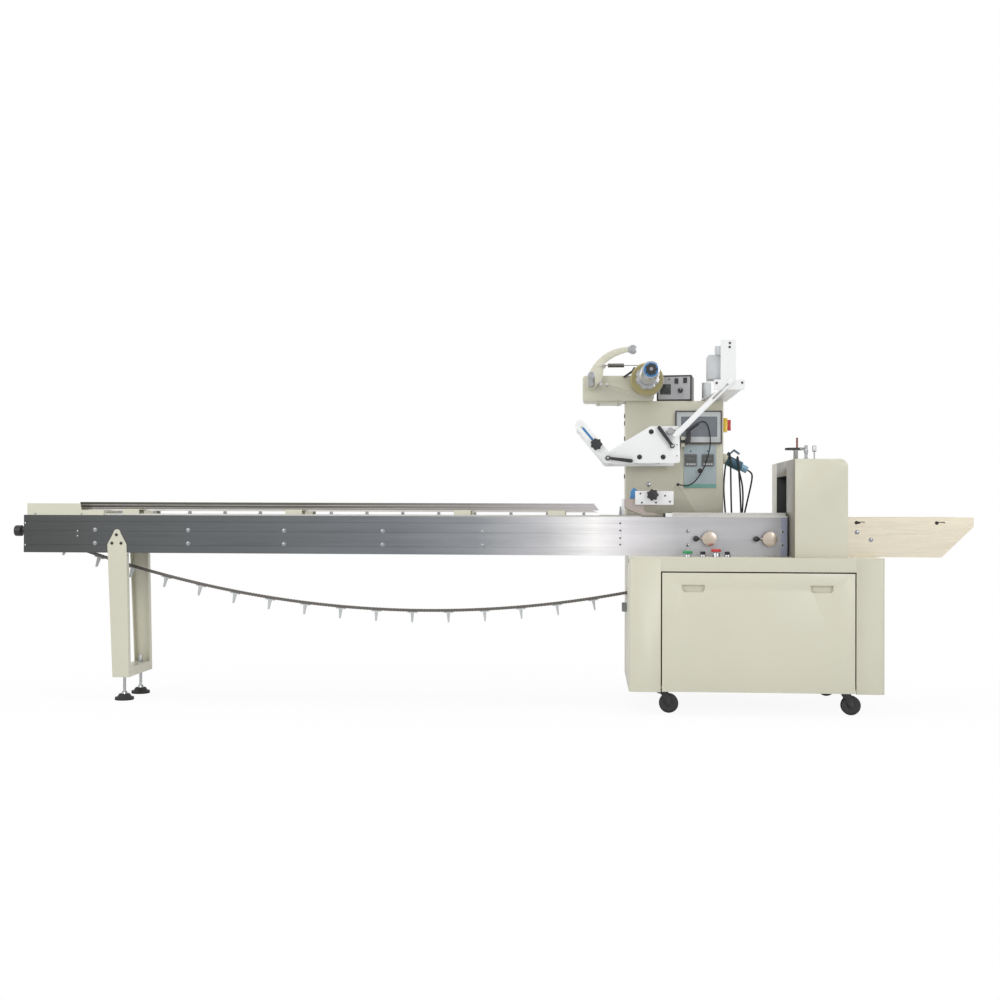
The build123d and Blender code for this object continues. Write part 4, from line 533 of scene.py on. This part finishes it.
screws("bracket_screws", [(634, 826), (729, 818), (640, 791), (694, 791), (748, 795)],
       BRACKET_FACE_Y + 0.2, 3.6, black_moulding)
screws("guide_frame_bolts", [(670, 1059), (626, 963), (715, 963)], GUIDE_PLATE_Y, 7.0, black_moulding,
       washer=9.5)
screws("guide_frame_dots", [(767, 1010), (767, 968), (758, 1064)], GUIDE_PLATE_Y, 2.4, oiled_steel)
screws("column_plug", [(678, 867)], COLUMN_FACE_Y, 9.0, washer=11)
screws("end_plate_screws", [(-1761, 740), (-1573, 740)], BEAM_FACE_Y, 4.0)

# %% [markdown]
# The guide frame carries a knurled adjusting sleeve, and its clamp levers have ribs and screws. A
# blue liner shows through the slot of the guide arm, and it turns with the arm.

# %% Guide frame fittings
bm = bmesh.new()
sleeve_profile = [(0.0, 12), (5.0, 12), (5.0, 14), (9.5, 14), (9.5, 11)]
for ridge in range(4):
    sleeve_profile += [(13.5, 10.5 - 2.5 * ridge), (12.2, 9.2 - 2.5 * ridge)]
sleeve_profile += [(14.5, 0.5), (14.5, 0)]
turn_mm(bm, sleeve_profile, (742, GUIDE_PLATE_Y, 1061), TO_FRONT, 28)
new_piece("knurled_sleeve", bm, bright_chrome)

GUIDE_PIVOT = (506, 959)
CLAMP_PIVOT = (749, 1005)
CLAMP_HUB_Y = -259.0
LINER_Y = -231.5
ARM_TURN = math.radians(129.5)
arm_way = Vector((math.cos(ARM_TURN), 0, math.sin(ARM_TURN)))
bm = bmesh.new()
plate(bm, [(0.082, -0.0065), (0.150, -0.0065), (0.150, 0.0065), (0.082, 0.0065)],
      mm(GUIDE_PIVOT[0], LINER_Y, GUIDE_PIVOT[1]), TO_FRONT, 0.002, arm_way)
new_piece("guide_arm_liner", bm, signal_blue, "slotted_guide_arm")

bm = bmesh.new()
for pivot_x, pivot_z in (CLAMP_PIVOT, GUIDE_PIVOT):
    domed_head(bm, mm(pivot_x, CLAMP_HUB_Y, pivot_z), 0.006, TO_FRONT)
new_piece("clamp_lever_screws", bm, bright_chrome)

bm = bmesh.new()
for (pivot_x, pivot_z), turned in ((CLAMP_PIVOT, 125.8), (GUIDE_PIVOT, -7.1)):
    way = Vector((math.cos(math.radians(turned)), 0, math.sin(math.radians(turned))))
    ribs = [(0.016, -0.0028), (0.076, -0.0040), (0.076, 0.0040), (0.016, 0.0028)]
    plate(bm, ribs, mm(pivot_x, CLAMP_HUB_Y, pivot_z), TO_FRONT, 0.0016, way)
new_piece("clamp_lever_ribs", bm, black_moulding)

# %% [markdown]
# The reel end is the machine's face: a lobed knob with a polished centre, a blue lock ring, rings
# with bright edges and a dished brake drum. All of it turns with the arbor.

# %% Reel and brake drum
REEL = (667, 1290)
KNOB_FACE_Y = -312
MANDREL_END_Y = -280
DRUM_FACE_Y = 84
bm = bmesh.new()
turn_mm(bm, [(0, 2.4), (4.5, 2.0), (6.5, 0.8), (6.5, 0)], (REEL[0], KNOB_FACE_Y, REEL[1]), TO_FRONT, 24)
new_piece("reel_knob_cap", bm, grey_moulding, "film_reel_arbor")

bm = bmesh.new()
ring_profile = [(13, 12), (26, 12), (28, 10), (28, 2), (26, 0), (13, 0)]
turn_mm(bm, ring_profile, (REEL[0], MANDREL_END_Y, REEL[1]), TO_FRONT, 40)
new_piece("reel_lock_ring", bm, signal_blue, "film_reel_arbor")

bm = bmesh.new()
for groove in range(3):
    edge = [(33.0, 0), (34.2, 0.8), (34.2, 3.2), (33.0, 4)]
    turn_mm(bm, edge, (REEL[0], -60 - 70 * groove, REEL[1]), TO_FRONT, 48)
new_piece("mandrel_rings", bm, rolled_steel, "film_reel_arbor")

bm = bmesh.new()
dish = [(20, 3.5), (34, 1.0), (52, 1.2), (58, 4.0), (63, 4.6), (66, 2.8), (66, 0)]
turn_mm(bm, dish, (REEL[0], DRUM_FACE_Y, REEL[1]), TO_FRONT, 64)
new_piece("brake_drum_dish", bm, khaki_enamel, "film_reel_arbor")

# %% [markdown]
# The tension spring is a real coil: a thin wire carried round a helix. The straight hooks at its ends
# are in the solid. The clamp lever stands on the head box, in the gap in front of it.

# %% Tension spring and brake clamp
def wire_piece(name, places, radius, finish, body=MACHINE, steps=8):
    """Sweep a round wire through places and return it as a mesh piece."""
    bm = bmesh.new()
    rings = []
    for index, place in enumerate(places):
        ahead = places[min(index + 1, len(places) - 1)]
        behind = places[max(index - 1, 0)]
        matrix = basis(place, ahead - behind, (0.11, 0.97, 0.23))
        rings.append([bm.verts.new(matrix @ on_circle(radius, math.tau * s / steps)) for s in range(steps)])
    for low, high in zip(rings, rings[1:]):
        for step in range(steps):
            after = (step + 1) % steps
            bm.faces.new((low[step], low[after], high[after], high[step]))
    bm.faces.new(rings[0][::-1])
    bm.faces.new(rings[-1])
    return new_piece(name, bm, finish, body)


SPRING_Y = 97
SPRING_Z = 1348
SPRING_START = 510
SPRING_LENGTH = 65
COIL_RADIUS = 7.4
WIRE_RADIUS = 0.0013
COILS = 20
STEPS_A_COIL = 14
coil_steps = COILS * STEPS_A_COIL
helix = []
for step in range(coil_steps + 1):
    share = step / coil_steps
    angle = math.tau * COILS * share
    helix.append(mm(SPRING_START + share * SPRING_LENGTH, SPRING_Y + COIL_RADIUS * math.cos(angle),
                    SPRING_Z + COIL_RADIUS * math.sin(angle)))
wire_piece("spring_coil", helix, WIRE_RADIUS, oiled_steel, steps=6)

bm = bmesh.new()
lever_outline = [(0, -0.005), (0.052, -0.0035), (0.052, 0.0035), (0, 0.005)]
stand_outline = [(-0.012, -0.004), (0.022, -0.004), (0.022, 0.004), (-0.012, 0.004)]
turn_mm(bm, [(0, 7), (8, 7), (9, 6), (9, 0)], (618, 129.5, 1332), TO_FRONT, 24)
plate(bm, lever_outline, mm(618, 129, 1332), TO_FRONT, 0.006, (-0.83, 0, -0.55))
plate(bm, stand_outline, mm(618, 136, 1322), TO_FRONT, 0.01, UP)
new_piece("brake_clamp_lever", bm, black_moulding)

bm = bmesh.new()
slab(bm, mm(476, 122, 1270), mm(486, 130, 1292))
slab(bm, mm(476, 118, 1288), mm(486, 123, 1292))
new_piece("head_clip", bm, white_enamel)

# %% [markdown]
# The panels get their faces: a rim round the screen, two regulators with displays and keys, lamps,
# the selector, and a controller front with rockers. No face bears a word. Blocks on the turned
# controller box are given across and up its front, then turned with one matrix.

# %% Panels on the column
SCREEN_LEFT = 785
SCREEN_RIGHT = 973
SCREEN_FOOT = 1033
SCREEN_TOP = 1167
SCREEN_Y = 136.0
RIM = 5
RIM_PROUD = 2.5


def rim_bars(left, foot, right, top):
    """The four bars of a rim, each as left, foot, right and top."""
    return [(left, foot, right, foot + RIM), (left, top - RIM, right, top),
            (left, foot + RIM, left + RIM, top - RIM), (right - RIM, foot + RIM, right, top - RIM)]


bm = bmesh.new()
for x0, z0, x1, z1 in rim_bars(SCREEN_LEFT, SCREEN_FOOT, SCREEN_RIGHT, SCREEN_TOP):
    slab(bm, mm(x0, SCREEN_Y - RIM_PROUD, z0), mm(x1, SCREEN_Y, z1))
new_piece("screen_rim", bm, dark_rim)

PANEL_FACE_Y = 146
REGULATOR_FACE_Y = 138
SELECTOR_FACE_Y = 134
REGULATOR_XS = (848, 917)
REGULATOR_Z = 966
DIGIT_FOOT = 965.5
DIGIT_STROKES = ((0, 0, 5, 1), (0, 5, 5, 6), (0, 10, 5, 11), (0, 0, 1, 11), (4, 0, 5, 11))
bm = bmesh.new()
slab(bm, mm(821.3, PANEL_FACE_Y - 0.6, 854.3), mm(950.7, PANEL_FACE_Y, 869))
new_piece("panel_stripe", bm, teal_film)

bm = bmesh.new()
for centre in REGULATOR_XS:
    for low, high in (((-20, 2), (20, 18)), ((-20, -7), (20, -1))):
        slab(bm, mm(centre + low[0], REGULATOR_FACE_Y - 0.6, REGULATOR_Z + low[1]),
             mm(centre + high[0], REGULATOR_FACE_Y, REGULATOR_Z + high[1]))
new_piece("regulator_displays", bm, lens_glass)
bm = bmesh.new()
for centre in REGULATOR_XS:
    for key in range(4):
        left = centre - 19 + key * 10
        slab(bm, mm(left, REGULATOR_FACE_Y - 1.2, 946), mm(left + 8, REGULATOR_FACE_Y, 953))
keys = new_piece("regulator_keys", bm, pale_grey_moulding)
round_edges(keys, 0.0006)
bm = bmesh.new()
for centre in REGULATOR_XS:
    for digit in range(4):
        left = centre - 15 + digit * 8
        for x0, z0, x1, z1 in DIGIT_STROKES:
            slab(bm, mm(left + x0, REGULATOR_FACE_Y - 0.9, DIGIT_FOOT + z0),
                 mm(left + x1, REGULATOR_FACE_Y - 0.6, DIGIT_FOOT + z1))
new_piece("regulator_segments", bm, dim_segment)
bm = bmesh.new()
for centre in REGULATOR_XS:
    turn_mm(bm, [(0, 3), (2, 2.6), (3, 1), (3, 0)], (centre, PANEL_FACE_Y, 1003), TO_FRONT, 16)
new_piece("panel_lamps", bm, black_moulding)
bm = bmesh.new()
turn_mm(bm, [(10, 0.8), (14.5, 0.8), (14.5, 0)], (885, PANEL_FACE_Y, 923), TO_FRONT, 32)
new_piece("selector_plate", bm, pale_grey_moulding)
bm = bmesh.new()
grip_outline = [(-0.009, -0.0025), (0.009, -0.0025), (0.009, 0.0025), (-0.009, 0.0025)]
plate(bm, grip_outline, mm(885, SELECTOR_FACE_Y, 923), TO_FRONT, 0.005, (1, 0, 0.6))
turn_mm(bm, [(0, 1), (10, 1), (10, 0)], (885, SELECTOR_FACE_Y, 923), TO_FRONT, 24)
new_piece("selector_grip", bm, black_moulding)

CONTROLLER = Matrix.Translation(mm(791, 228, 1209)) @ Matrix.Rotation(math.radians(-8), 4, "Z")
CONTROLLER_HALF = 71
CONTROLLER_TALL = 105
CONTROLLER_FACE = -CONTROLLER_HALF


def on_controller(name, finish, blocks, turned=()):
    """Add blocks and turned parts given across and up the controller's front, in millimetres."""
    bm = bmesh.new()
    for u0, v0, u1, v1, proud in blocks:
        slab(bm, mm(u0, CONTROLLER_FACE - proud, v0), mm(u1, CONTROLLER_FACE, v1))
    for u, v, radius, proud in turned:
        profile = [(0, proud), (radius * 0.85, proud), (radius, proud * 0.8), (radius, 0)]
        turn_mm(bm, profile, (u, CONTROLLER_FACE, v), TO_FRONT, 28)
    bmesh.ops.transform(bm, matrix=CONTROLLER, verts=bm.verts)
    piece = new_piece(name, bm, finish)
    round_edges(piece, 0.0006)
    return piece


on_controller("controller_front", faceplate_grey, [(-65, 6, 65, 99, 1.0)])
on_controller("controller_display", lens_glass, [(-57, 26, -13, 69, 1.6)])
on_controller("controller_vent", black_moulding,
              [(-53, 31 + 8 * row, -17, 33 + 8 * row, 2.4) for row in range(5)])
on_controller("controller_rockers", black_moulding, [(2, 70, 17, 92, 4.0), (37, 72, 52, 94, 4.0)],
              [(-20, 88, 3.2, 3.0), (26, 42, 10, 12)])
on_controller("controller_knob_mark", white_enamel, [(25.2, 44, 26.8, 51, 12.4)])
case_bars = rim_bars(-CONTROLLER_HALF, 0, CONTROLLER_HALF, CONTROLLER_TALL)
on_controller("controller_case_rim", black_moulding, [(*bar, RIM_PROUD) for bar in case_bars])

# %% [markdown]
# The ledge carries two small selectors between the start and stop buttons, with chrome collars.

# %% Ledge selectors
LEDGE_XS = (866, 958)
LEDGE_ROW_Y = -230
LEDGE_TOP = 586
bm = bmesh.new()
for x in LEDGE_XS:
    turn_mm(bm, [(7, 8), (12, 8), (13, 6), (13, 0)], (x, LEDGE_ROW_Y, LEDGE_TOP), UP, 32)
new_piece("selector_collars", bm, bright_chrome)
bm = bmesh.new()
ledge_grip_outline = [(-0.011, -0.003), (0.011, -0.003), (0.011, 0.003), (-0.011, 0.003)]
for x in LEDGE_XS:
    turn_mm(bm, [(0, 12), (9, 12), (9.5, 8), (9.5, 2)], (x, LEDGE_ROW_Y, LEDGE_TOP), UP, 24)
    plate(bm, ledge_grip_outline, mm(x, LEDGE_ROW_Y, LEDGE_TOP + 11), UP, 0.009, (1, 0.7, 0))
grips = new_piece("ledge_selector_grips", bm, black_moulding)
round_edges(grips, 0.0012)

# %% [markdown]
# Film path pieces at the former: the blue guide shoe, a white side plate, and the textured deck
# where the pushers hand the product over. The pips are raised in rows, every other row shifted.

# %% Former fittings
DECK_TOP = 741
TEXTURE_TOP = 742.2
FORMER_TOP = 807
BEAM_TOP = 735
PIP_ROWS = 11
PIP_COLUMNS = 26
bm = bmesh.new()
slab(bm, mm(563, -104, 742), mm(574, -92, 806))
side_plate = new_piece("former_side_plate", bm, white_enamel)
round_edges(side_plate, 0.002)
bm = bmesh.new()
shoe_outline = [(0, 0), (0.030, 0), (0.040, 0.024), (0.016, 0.043), (0.004, 0.030)]
plate(bm, shoe_outline, mm(594, -88, FORMER_TOP), TO_FRONT, 0.014, (1, 0, 0))
shoe = new_piece("former_shoe", bm, signal_blue)
round_edges(shoe, 0.002)
bm = bmesh.new()
slab(bm, mm(476, -152, DECK_TOP), mm(633, -34, TEXTURE_TOP))
for row in range(PIP_ROWS):
    for column in range(PIP_COLUMNS):
        y = -146 + row * 10 + (column % 2) * 5
        turn_mm(bm, [(0, 0.7), (1.8, 0.4), (2.6, 0)], (480 + column * 6, y, TEXTURE_TOP), UP, 6)
new_piece("textured_deck", bm, dark_anodised)
bm = bmesh.new()
slab(bm, mm(729, -157, BEAM_TOP), mm(757, -122, 751))
rest = new_piece("table_rest", bm, white_enamel)
round_edges(rest, 0.002)
bm = bmesh.new()
slab(bm, mm(722, -157, BEAM_TOP), mm(728, -122, 750))
new_piece("table_stop", bm, black_moulding)
bm = bmesh.new()
slab(bm, mm(1168, BEAM_FACE_Y - 0.6, 587), mm(1192, BEAM_FACE_Y, 734))
new_piece("beam_end_strip", bm, bluish_steel)

# %% [markdown]
# Each guide rail has a bright lip under its dark face and two painted highlight lines along it, thin
# bright strips. The lips end in a slant near the former.

# %% Rail lips
RAIL_START = -1601
LIP_FOOT = 752
lip_outline = [(0, 0), (2.072, 0), (2.050, 0.008), (0, 0.008)]
bm = bmesh.new()
for y in (-94, 64):
    plate(bm, lip_outline, mm(RAIL_START, y, LIP_FOOT), TO_FRONT, 0.010, (1, 0, 0))
new_piece("rail_lips", bm, rolled_steel)
# Painted highlights: thin strips of bright steel along each rail face.
bm = bmesh.new()
for y in (-100.4, 60.0):
    for z in (763.5, 775.0):
        slab(bm, mm(-1600, y, z), mm(452, y + 0.4, z + 1.6))
new_piece("rail_highlight_lines", bm, rolled_steel)

# %% [markdown]
# On the hood stand two adjusters and a lock lever. Black strips hang in the tunnel's far end as painted
# shade, so the tunnel looks dark. The jaws get rows of sealing teeth.

# %% Hood fittings
HOOD_TOP = 955
STRIPS = 12
STRIP_PITCH = 22.4
STRIP_WIDTH = 21
TEETH = 14
TOOTH_PITCH = 7.2
TOOTH_WIDTH = 4
JAW_LEFT = 1246
HOOD_ROW_Y = -200
bm = bmesh.new()
post = [(0, 56), (5, 56), (6, 55), (6, 40), (8, 38), (8, 26), (6, 24), (6, 6), (9, 5), (9, 0)]
turn_mm(bm, post, (1256, HOOD_ROW_Y, HOOD_TOP), UP, 24)
rod = [(0, 55), (6.5, 54), (7.5, 52), (7.5, 32), (6, 30), (2.6, 29), (2.6, 0)]
turn_mm(bm, rod, (1287, HOOD_ROW_Y, HOOD_TOP), UP, 24)
turn_mm(bm, [(0, 24), (2.4, 24), (2.4, 0)], (1254, HOOD_ROW_Y, 994), (-1, 0, 0.1), 16)
new_piece("hood_adjusters", bm, bright_chrome)
bm = bmesh.new()
turn_mm(bm, [(0, 12), (3, 11), (5, 8), (5, 4), (3, 0)], (1232, HOOD_ROW_Y, 996), (-1, 0, 0.1), 16)
new_piece("hood_lock_ball", bm, black_moulding)
bm = bmesh.new()
# Painted shade: black strips at the tunnel's far end darken the tunnel.
for strip in range(STRIPS):
    y = -84 + strip * STRIP_PITCH
    slab(bm, mm(1386, y, 760), mm(1388.5, y + STRIP_WIDTH, 897.2))
new_piece("tunnel_shade_curtain", bm, black_rubber)
bm = bmesh.new()
for tooth_foot, tooth_tip in ((723.8, 728), (792, 798.2)):
    for tooth in range(TEETH):
        x = JAW_LEFT + tooth * TOOTH_PITCH
        slab(bm, mm(x, -80, tooth_foot), mm(x + TOOTH_WIDTH, 68, tooth_tip))
new_piece("jaw_teeth", bm, oiled_steel)

# %% [markdown]
# The mains plug has a hinged lid and grip rings, and sits in a cream inlet on the column's side. Its
# lead and the sensor cable are smooth curves whose control points are those of their solids.

# %% Plug, lead and sensor cable
PLUG_SEAT = mm(1003, 230, 970)
PLUG_TILT = math.radians(26.7)
plug_way = Vector((math.cos(PLUG_TILT), 0, -math.sin(PLUG_TILT)))
bm = bmesh.new()
inlet = [(0.012, 0.024), (0.019, 0.022), (0.021, 0.018), (0.021, 0.002), (0.012, 0.0)]
turn(bm, inlet, PLUG_SEAT, -plug_way, 32)
new_piece("plug_inlet", bm, cream_enamel)
bm = bmesh.new()
for ring in range(5):
    edge = [(0.021, 0), (0.0222, 0.001), (0.0222, 0.003), (0.021, 0.004)]
    turn(bm, edge, PLUG_SEAT + plug_way * (0.030 + 0.007 * ring), plug_way, 32)
lid_toward = Vector((math.cos(0.75), 0, math.sin(0.75)))
LID_WIDTH = 0.032
hinge_outline = [(-0.002, -0.003), (0.030, -0.003), (0.034, 0.003), (0.002, 0.004)]
flap_outline = [(0, -0.003), (0.030, -0.006), (0.030, 0.000), (0, 0.003)]
plate(bm, hinge_outline, PLUG_SEAT + mm(4, 16, 18), TO_FRONT, LID_WIDTH, lid_toward)
plate(bm, flap_outline, PLUG_SEAT + mm(26, 16, 42), TO_FRONT, LID_WIDTH, (0.86, 0, -0.5))
plug_trim = new_piece("plug_lid_and_rings", bm, plug_blue)


def cord_curve(name, places, radius, finish):
    """A cord as one smooth curve through control places in millimetres."""
    data = bpy.data.curves.new(name, "CURVE")
    data.dimensions = "3D"
    data.bevel_depth = radius / 1000
    data.bevel_resolution = 5
    data.resolution_u = 12
    data.use_fill_caps = True
    spline = data.splines.new("NURBS")
    spline.points.add(len(places) - 1)
    for point, place in zip(spline.points, places):
        point.co = (*(mm(*place)), 1.0)
    spline.order_u = 3
    spline.use_endpoint_u = True
    data.materials.append(finish)
    cord = bpy.data.objects.new(name, data)
    bpy.context.scene.collection.objects.link(cord)
    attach(cord, MACHINE)
    print("cord", name, "drawn with", len(places), "control places")
    return cord


LEAD_GLAND = (1006, 254, 604)
PLUG_END = PLUG_SEAT + plug_way * 0.092
PLUG_RUN = PLUG_END + plug_way * 0.0156
LEAD = [
    LEAD_GLAND, (1006, 254, 644), (1005, 255, 690), (998, 258, 770), (992, 262, 860),
    (998, 263, 930), (1004, 261.5, 976), (1008, 243, 1000), (1012, 217, 1000), (1014, 198.5, 976),
    (1015, 198, 935), (1016, 196, 850), (1018, 192, 740), (1026, 190, 656), (1038, 212, 634),
    (1052, 240, 634), (1060, 262, 656), (1070, 263, 740), (1074, 263, 850), (1058, 262, 920),
    (1048, 261.5, 960), (1046, 243, 983), (1046, 217, 983), (1047, 198.5, 960), (1048, 198, 925),
    (1054, 196, 830), (1058, 194, 720), (1059, 196, 644), (1061, 220, 620), (1064, 254, 620),
    (1066, 278, 644), (1073, 275, 716), (1090, 262, 800), (1104, 242, 872), (1107.5, 231.5, 908),
    tuple(PLUG_RUN * 1000), tuple(PLUG_END * 1000),
]
lead = cord_curve("mains_lead_curve", LEAD, 3.5, black_rubber)
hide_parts("mains_lead")
bm = bmesh.new()
boot = [(7.0, 0), (7.0, 3)]
for rib in range(6):
    outer = 6.4 - 0.4 * rib
    foot = 4 + 4.5 * rib
    boot += [(outer, foot), (outer, foot + 3), (5.4 - 0.25 * rib, foot + 3.2)]
boot += [(3.9, 33)]
turn_mm(bm, boot, LEAD_GLAND, UP, 28)
new_piece("lead_strain_relief", bm, black_rubber)

CABLE = [
    (875, 114, 1114), (883.8, 114, 1120.6), (894.7, 115, 1122.3), (905.1, 116, 1118.7), (914, 117, 1109),
    (922, 119, 1080), (926, 120.5, 1040), (920, 121, 995), (905, 121, 945), (882, 121, 902), (858, 118, 873),
    (833, 112, 860), (815, 114, 862), (797, 127, 867), (797, 147, 867),
]
cable = cord_curve("sensor_cable_curve", CABLE, 2.5, black_rubber)
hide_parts("sensor_cable")

# %% [markdown]
# Last come the fittings on the cabinet and the column: a small box on the cabinet's left wall, a slot
# under the ledge, the screws down the column's left side and the photo eye's mount.

# %% Cabinet and column fittings
bm = bmesh.new()
slab(bm, mm(568, 20, 356), mm(586, 84, 390))
socket_box = new_piece("wall_socket_box", bm, grey_moulding)
round_edges(socket_box, 0.003)
bm = bmesh.new()
slab(bm, mm(585.4, -296, 563), mm(586.2, -236, 577))
new_piece("ledge_slot", bm, black_moulding)
COLUMN_LEFT = 583
TO_LEFT = (-1, 0, 0)
bm = bmesh.new()
for z in (1150, 1120, 1057, 901):
    domed_head(bm, mm(COLUMN_LEFT, 200, z), 0.0065, TO_LEFT)
    turn_mm(bm, [(0, 4), (9, 4), (9, 0)], (COLUMN_LEFT, 200, z), TO_LEFT, 6)
new_piece("column_cover_screws", bm, oiled_steel)
bm = bmesh.new()
slab(bm, mm(806, 116, 1020), mm(822, 127, 1060))
new_piece("eye_mount", bm, cream_enamel)

# %% [markdown]
# The studio is plain: a pale floor that fades into a white surround, a large soft light from the
# front left, a weaker one from the right and one overhead. The surround is white to the camera and
# to shiny metal, and a little dimmer as a light, so that the pale paint keeps its shape. The floor
# glows a little to the camera alone, fully so away from the machine, and keeps a soft shadow under it.

# %% Studio
FLOOR_REACH = 9.0
AMBIENT = 0.62

bm = bmesh.new()
slab(bm, (-FLOOR_REACH, -FLOOR_REACH, -0.02), (FLOOR_REACH, FLOOR_REACH, 0.0))
floor_mesh = bpy.data.meshes.new("studio_floor")
bm.to_mesh(floor_mesh)
bm.free()
floor = bpy.data.objects.new("studio_floor", floor_mesh)
bpy.context.scene.collection.objects.link(floor)
FLOOR_LIFT = 0.92
floor_finish, floor_shader = start_finish("studio_floor", (0.9, 0.9, 0.9), 0.9)
floor_mesh.materials.append(floor_finish)
floor_tree = floor_finish.node_tree
glow = floor_tree.nodes.new("ShaderNodeEmission")
blend = floor_tree.nodes.new("ShaderNodeMixShader")
ray = floor_tree.nodes.new("ShaderNodeLightPath")
place = floor_tree.nodes.new("ShaderNodeTexCoord")
squeeze = floor_tree.nodes.new("ShaderNodeMapping")
squeeze.inputs["Scale"].default_value = (0.5, 1.0, 1.0)
away = floor_tree.nodes.new("ShaderNodeVectorMath")
away.operation = "LENGTH"
lift = floor_tree.nodes.new("ShaderNodeMapRange")
lift.inputs["From Min"].default_value = 0.5
lift.inputs["From Max"].default_value = 1.5
lift.inputs["To Min"].default_value = FLOOR_LIFT
lift.inputs["To Max"].default_value = 1.0
lifted = floor_tree.nodes.new("ShaderNodeMath")
lifted.operation = "MULTIPLY"
floor_tree.links.new(place.outputs["Object"], squeeze.inputs["Vector"])
floor_tree.links.new(squeeze.outputs["Vector"], away.inputs[0])
floor_tree.links.new(away.outputs["Value"], lift.inputs["Value"])
floor_tree.links.new(ray.outputs["Is Camera Ray"], lifted.inputs[0])
floor_tree.links.new(lift.outputs["Result"], lifted.inputs[1])
floor_tree.links.new(lifted.outputs[0], blend.inputs["Fac"])
floor_tree.links.new(floor_shader.outputs["BSDF"], blend.inputs[1])
floor_tree.links.new(glow.outputs["Emission"], blend.inputs[2])
floor_tree.links.new(blend.outputs["Shader"], floor_tree.nodes["Material Output"].inputs["Surface"])

world = bpy.data.worlds.new("studio_world")
bpy.context.scene.world = world
world.use_nodes = True
tree = world.node_tree
surround = tree.nodes["Background"]
surround.inputs["Color"].default_value = (1.0, 1.0, 1.0, 1.0)
path = tree.nodes.new("ShaderNodeLightPath")
seen = tree.nodes.new("ShaderNodeMath")
seen.operation = "MAXIMUM"
seen_too = tree.nodes.new("ShaderNodeMath")
seen_too.operation = "MAXIMUM"
level = tree.nodes.new("ShaderNodeMapRange")
level.inputs["To Min"].default_value = AMBIENT
level.inputs["To Max"].default_value = 1.0
tree.links.new(path.outputs["Is Camera Ray"], seen.inputs[0])
tree.links.new(path.outputs["Is Glossy Ray"], seen.inputs[1])
tree.links.new(seen.outputs[0], seen_too.inputs[0])
tree.links.new(path.outputs["Is Transmission Ray"], seen_too.inputs[1])
tree.links.new(seen_too.outputs[0], level.inputs["Value"])
tree.links.new(level.outputs["Result"], surround.inputs["Strength"])


def soft_light(name, place, target, size, power):
    """Hang a rectangular soft box at place, facing target."""
    data = bpy.data.lights.new(name, "AREA")
    data.shape = "RECTANGLE"
    data.size = size[0]
    data.size_y = size[1]
    data.energy = power
    lamp = bpy.data.objects.new(name, data)
    lamp.matrix_world = basis(place, Vector(place) - Vector(target))
    bpy.context.scene.collection.objects.link(lamp)
    print("light", name, "of", power, "watts")
    return lamp


soft_light("front_left_light", (-3.2, -4.2, 3.2), (0, 0, 0.7), (3.0, 2.0), 70)
soft_light("front_right_light", (3.4, -3.8, 2.4), (0.6, 0, 0.8), (2.0, 1.6), 40)
soft_light("top_light", (0.2, -0.3, 4.2), (0.2, 0, 0.5), (4.0, 2.0), 60)
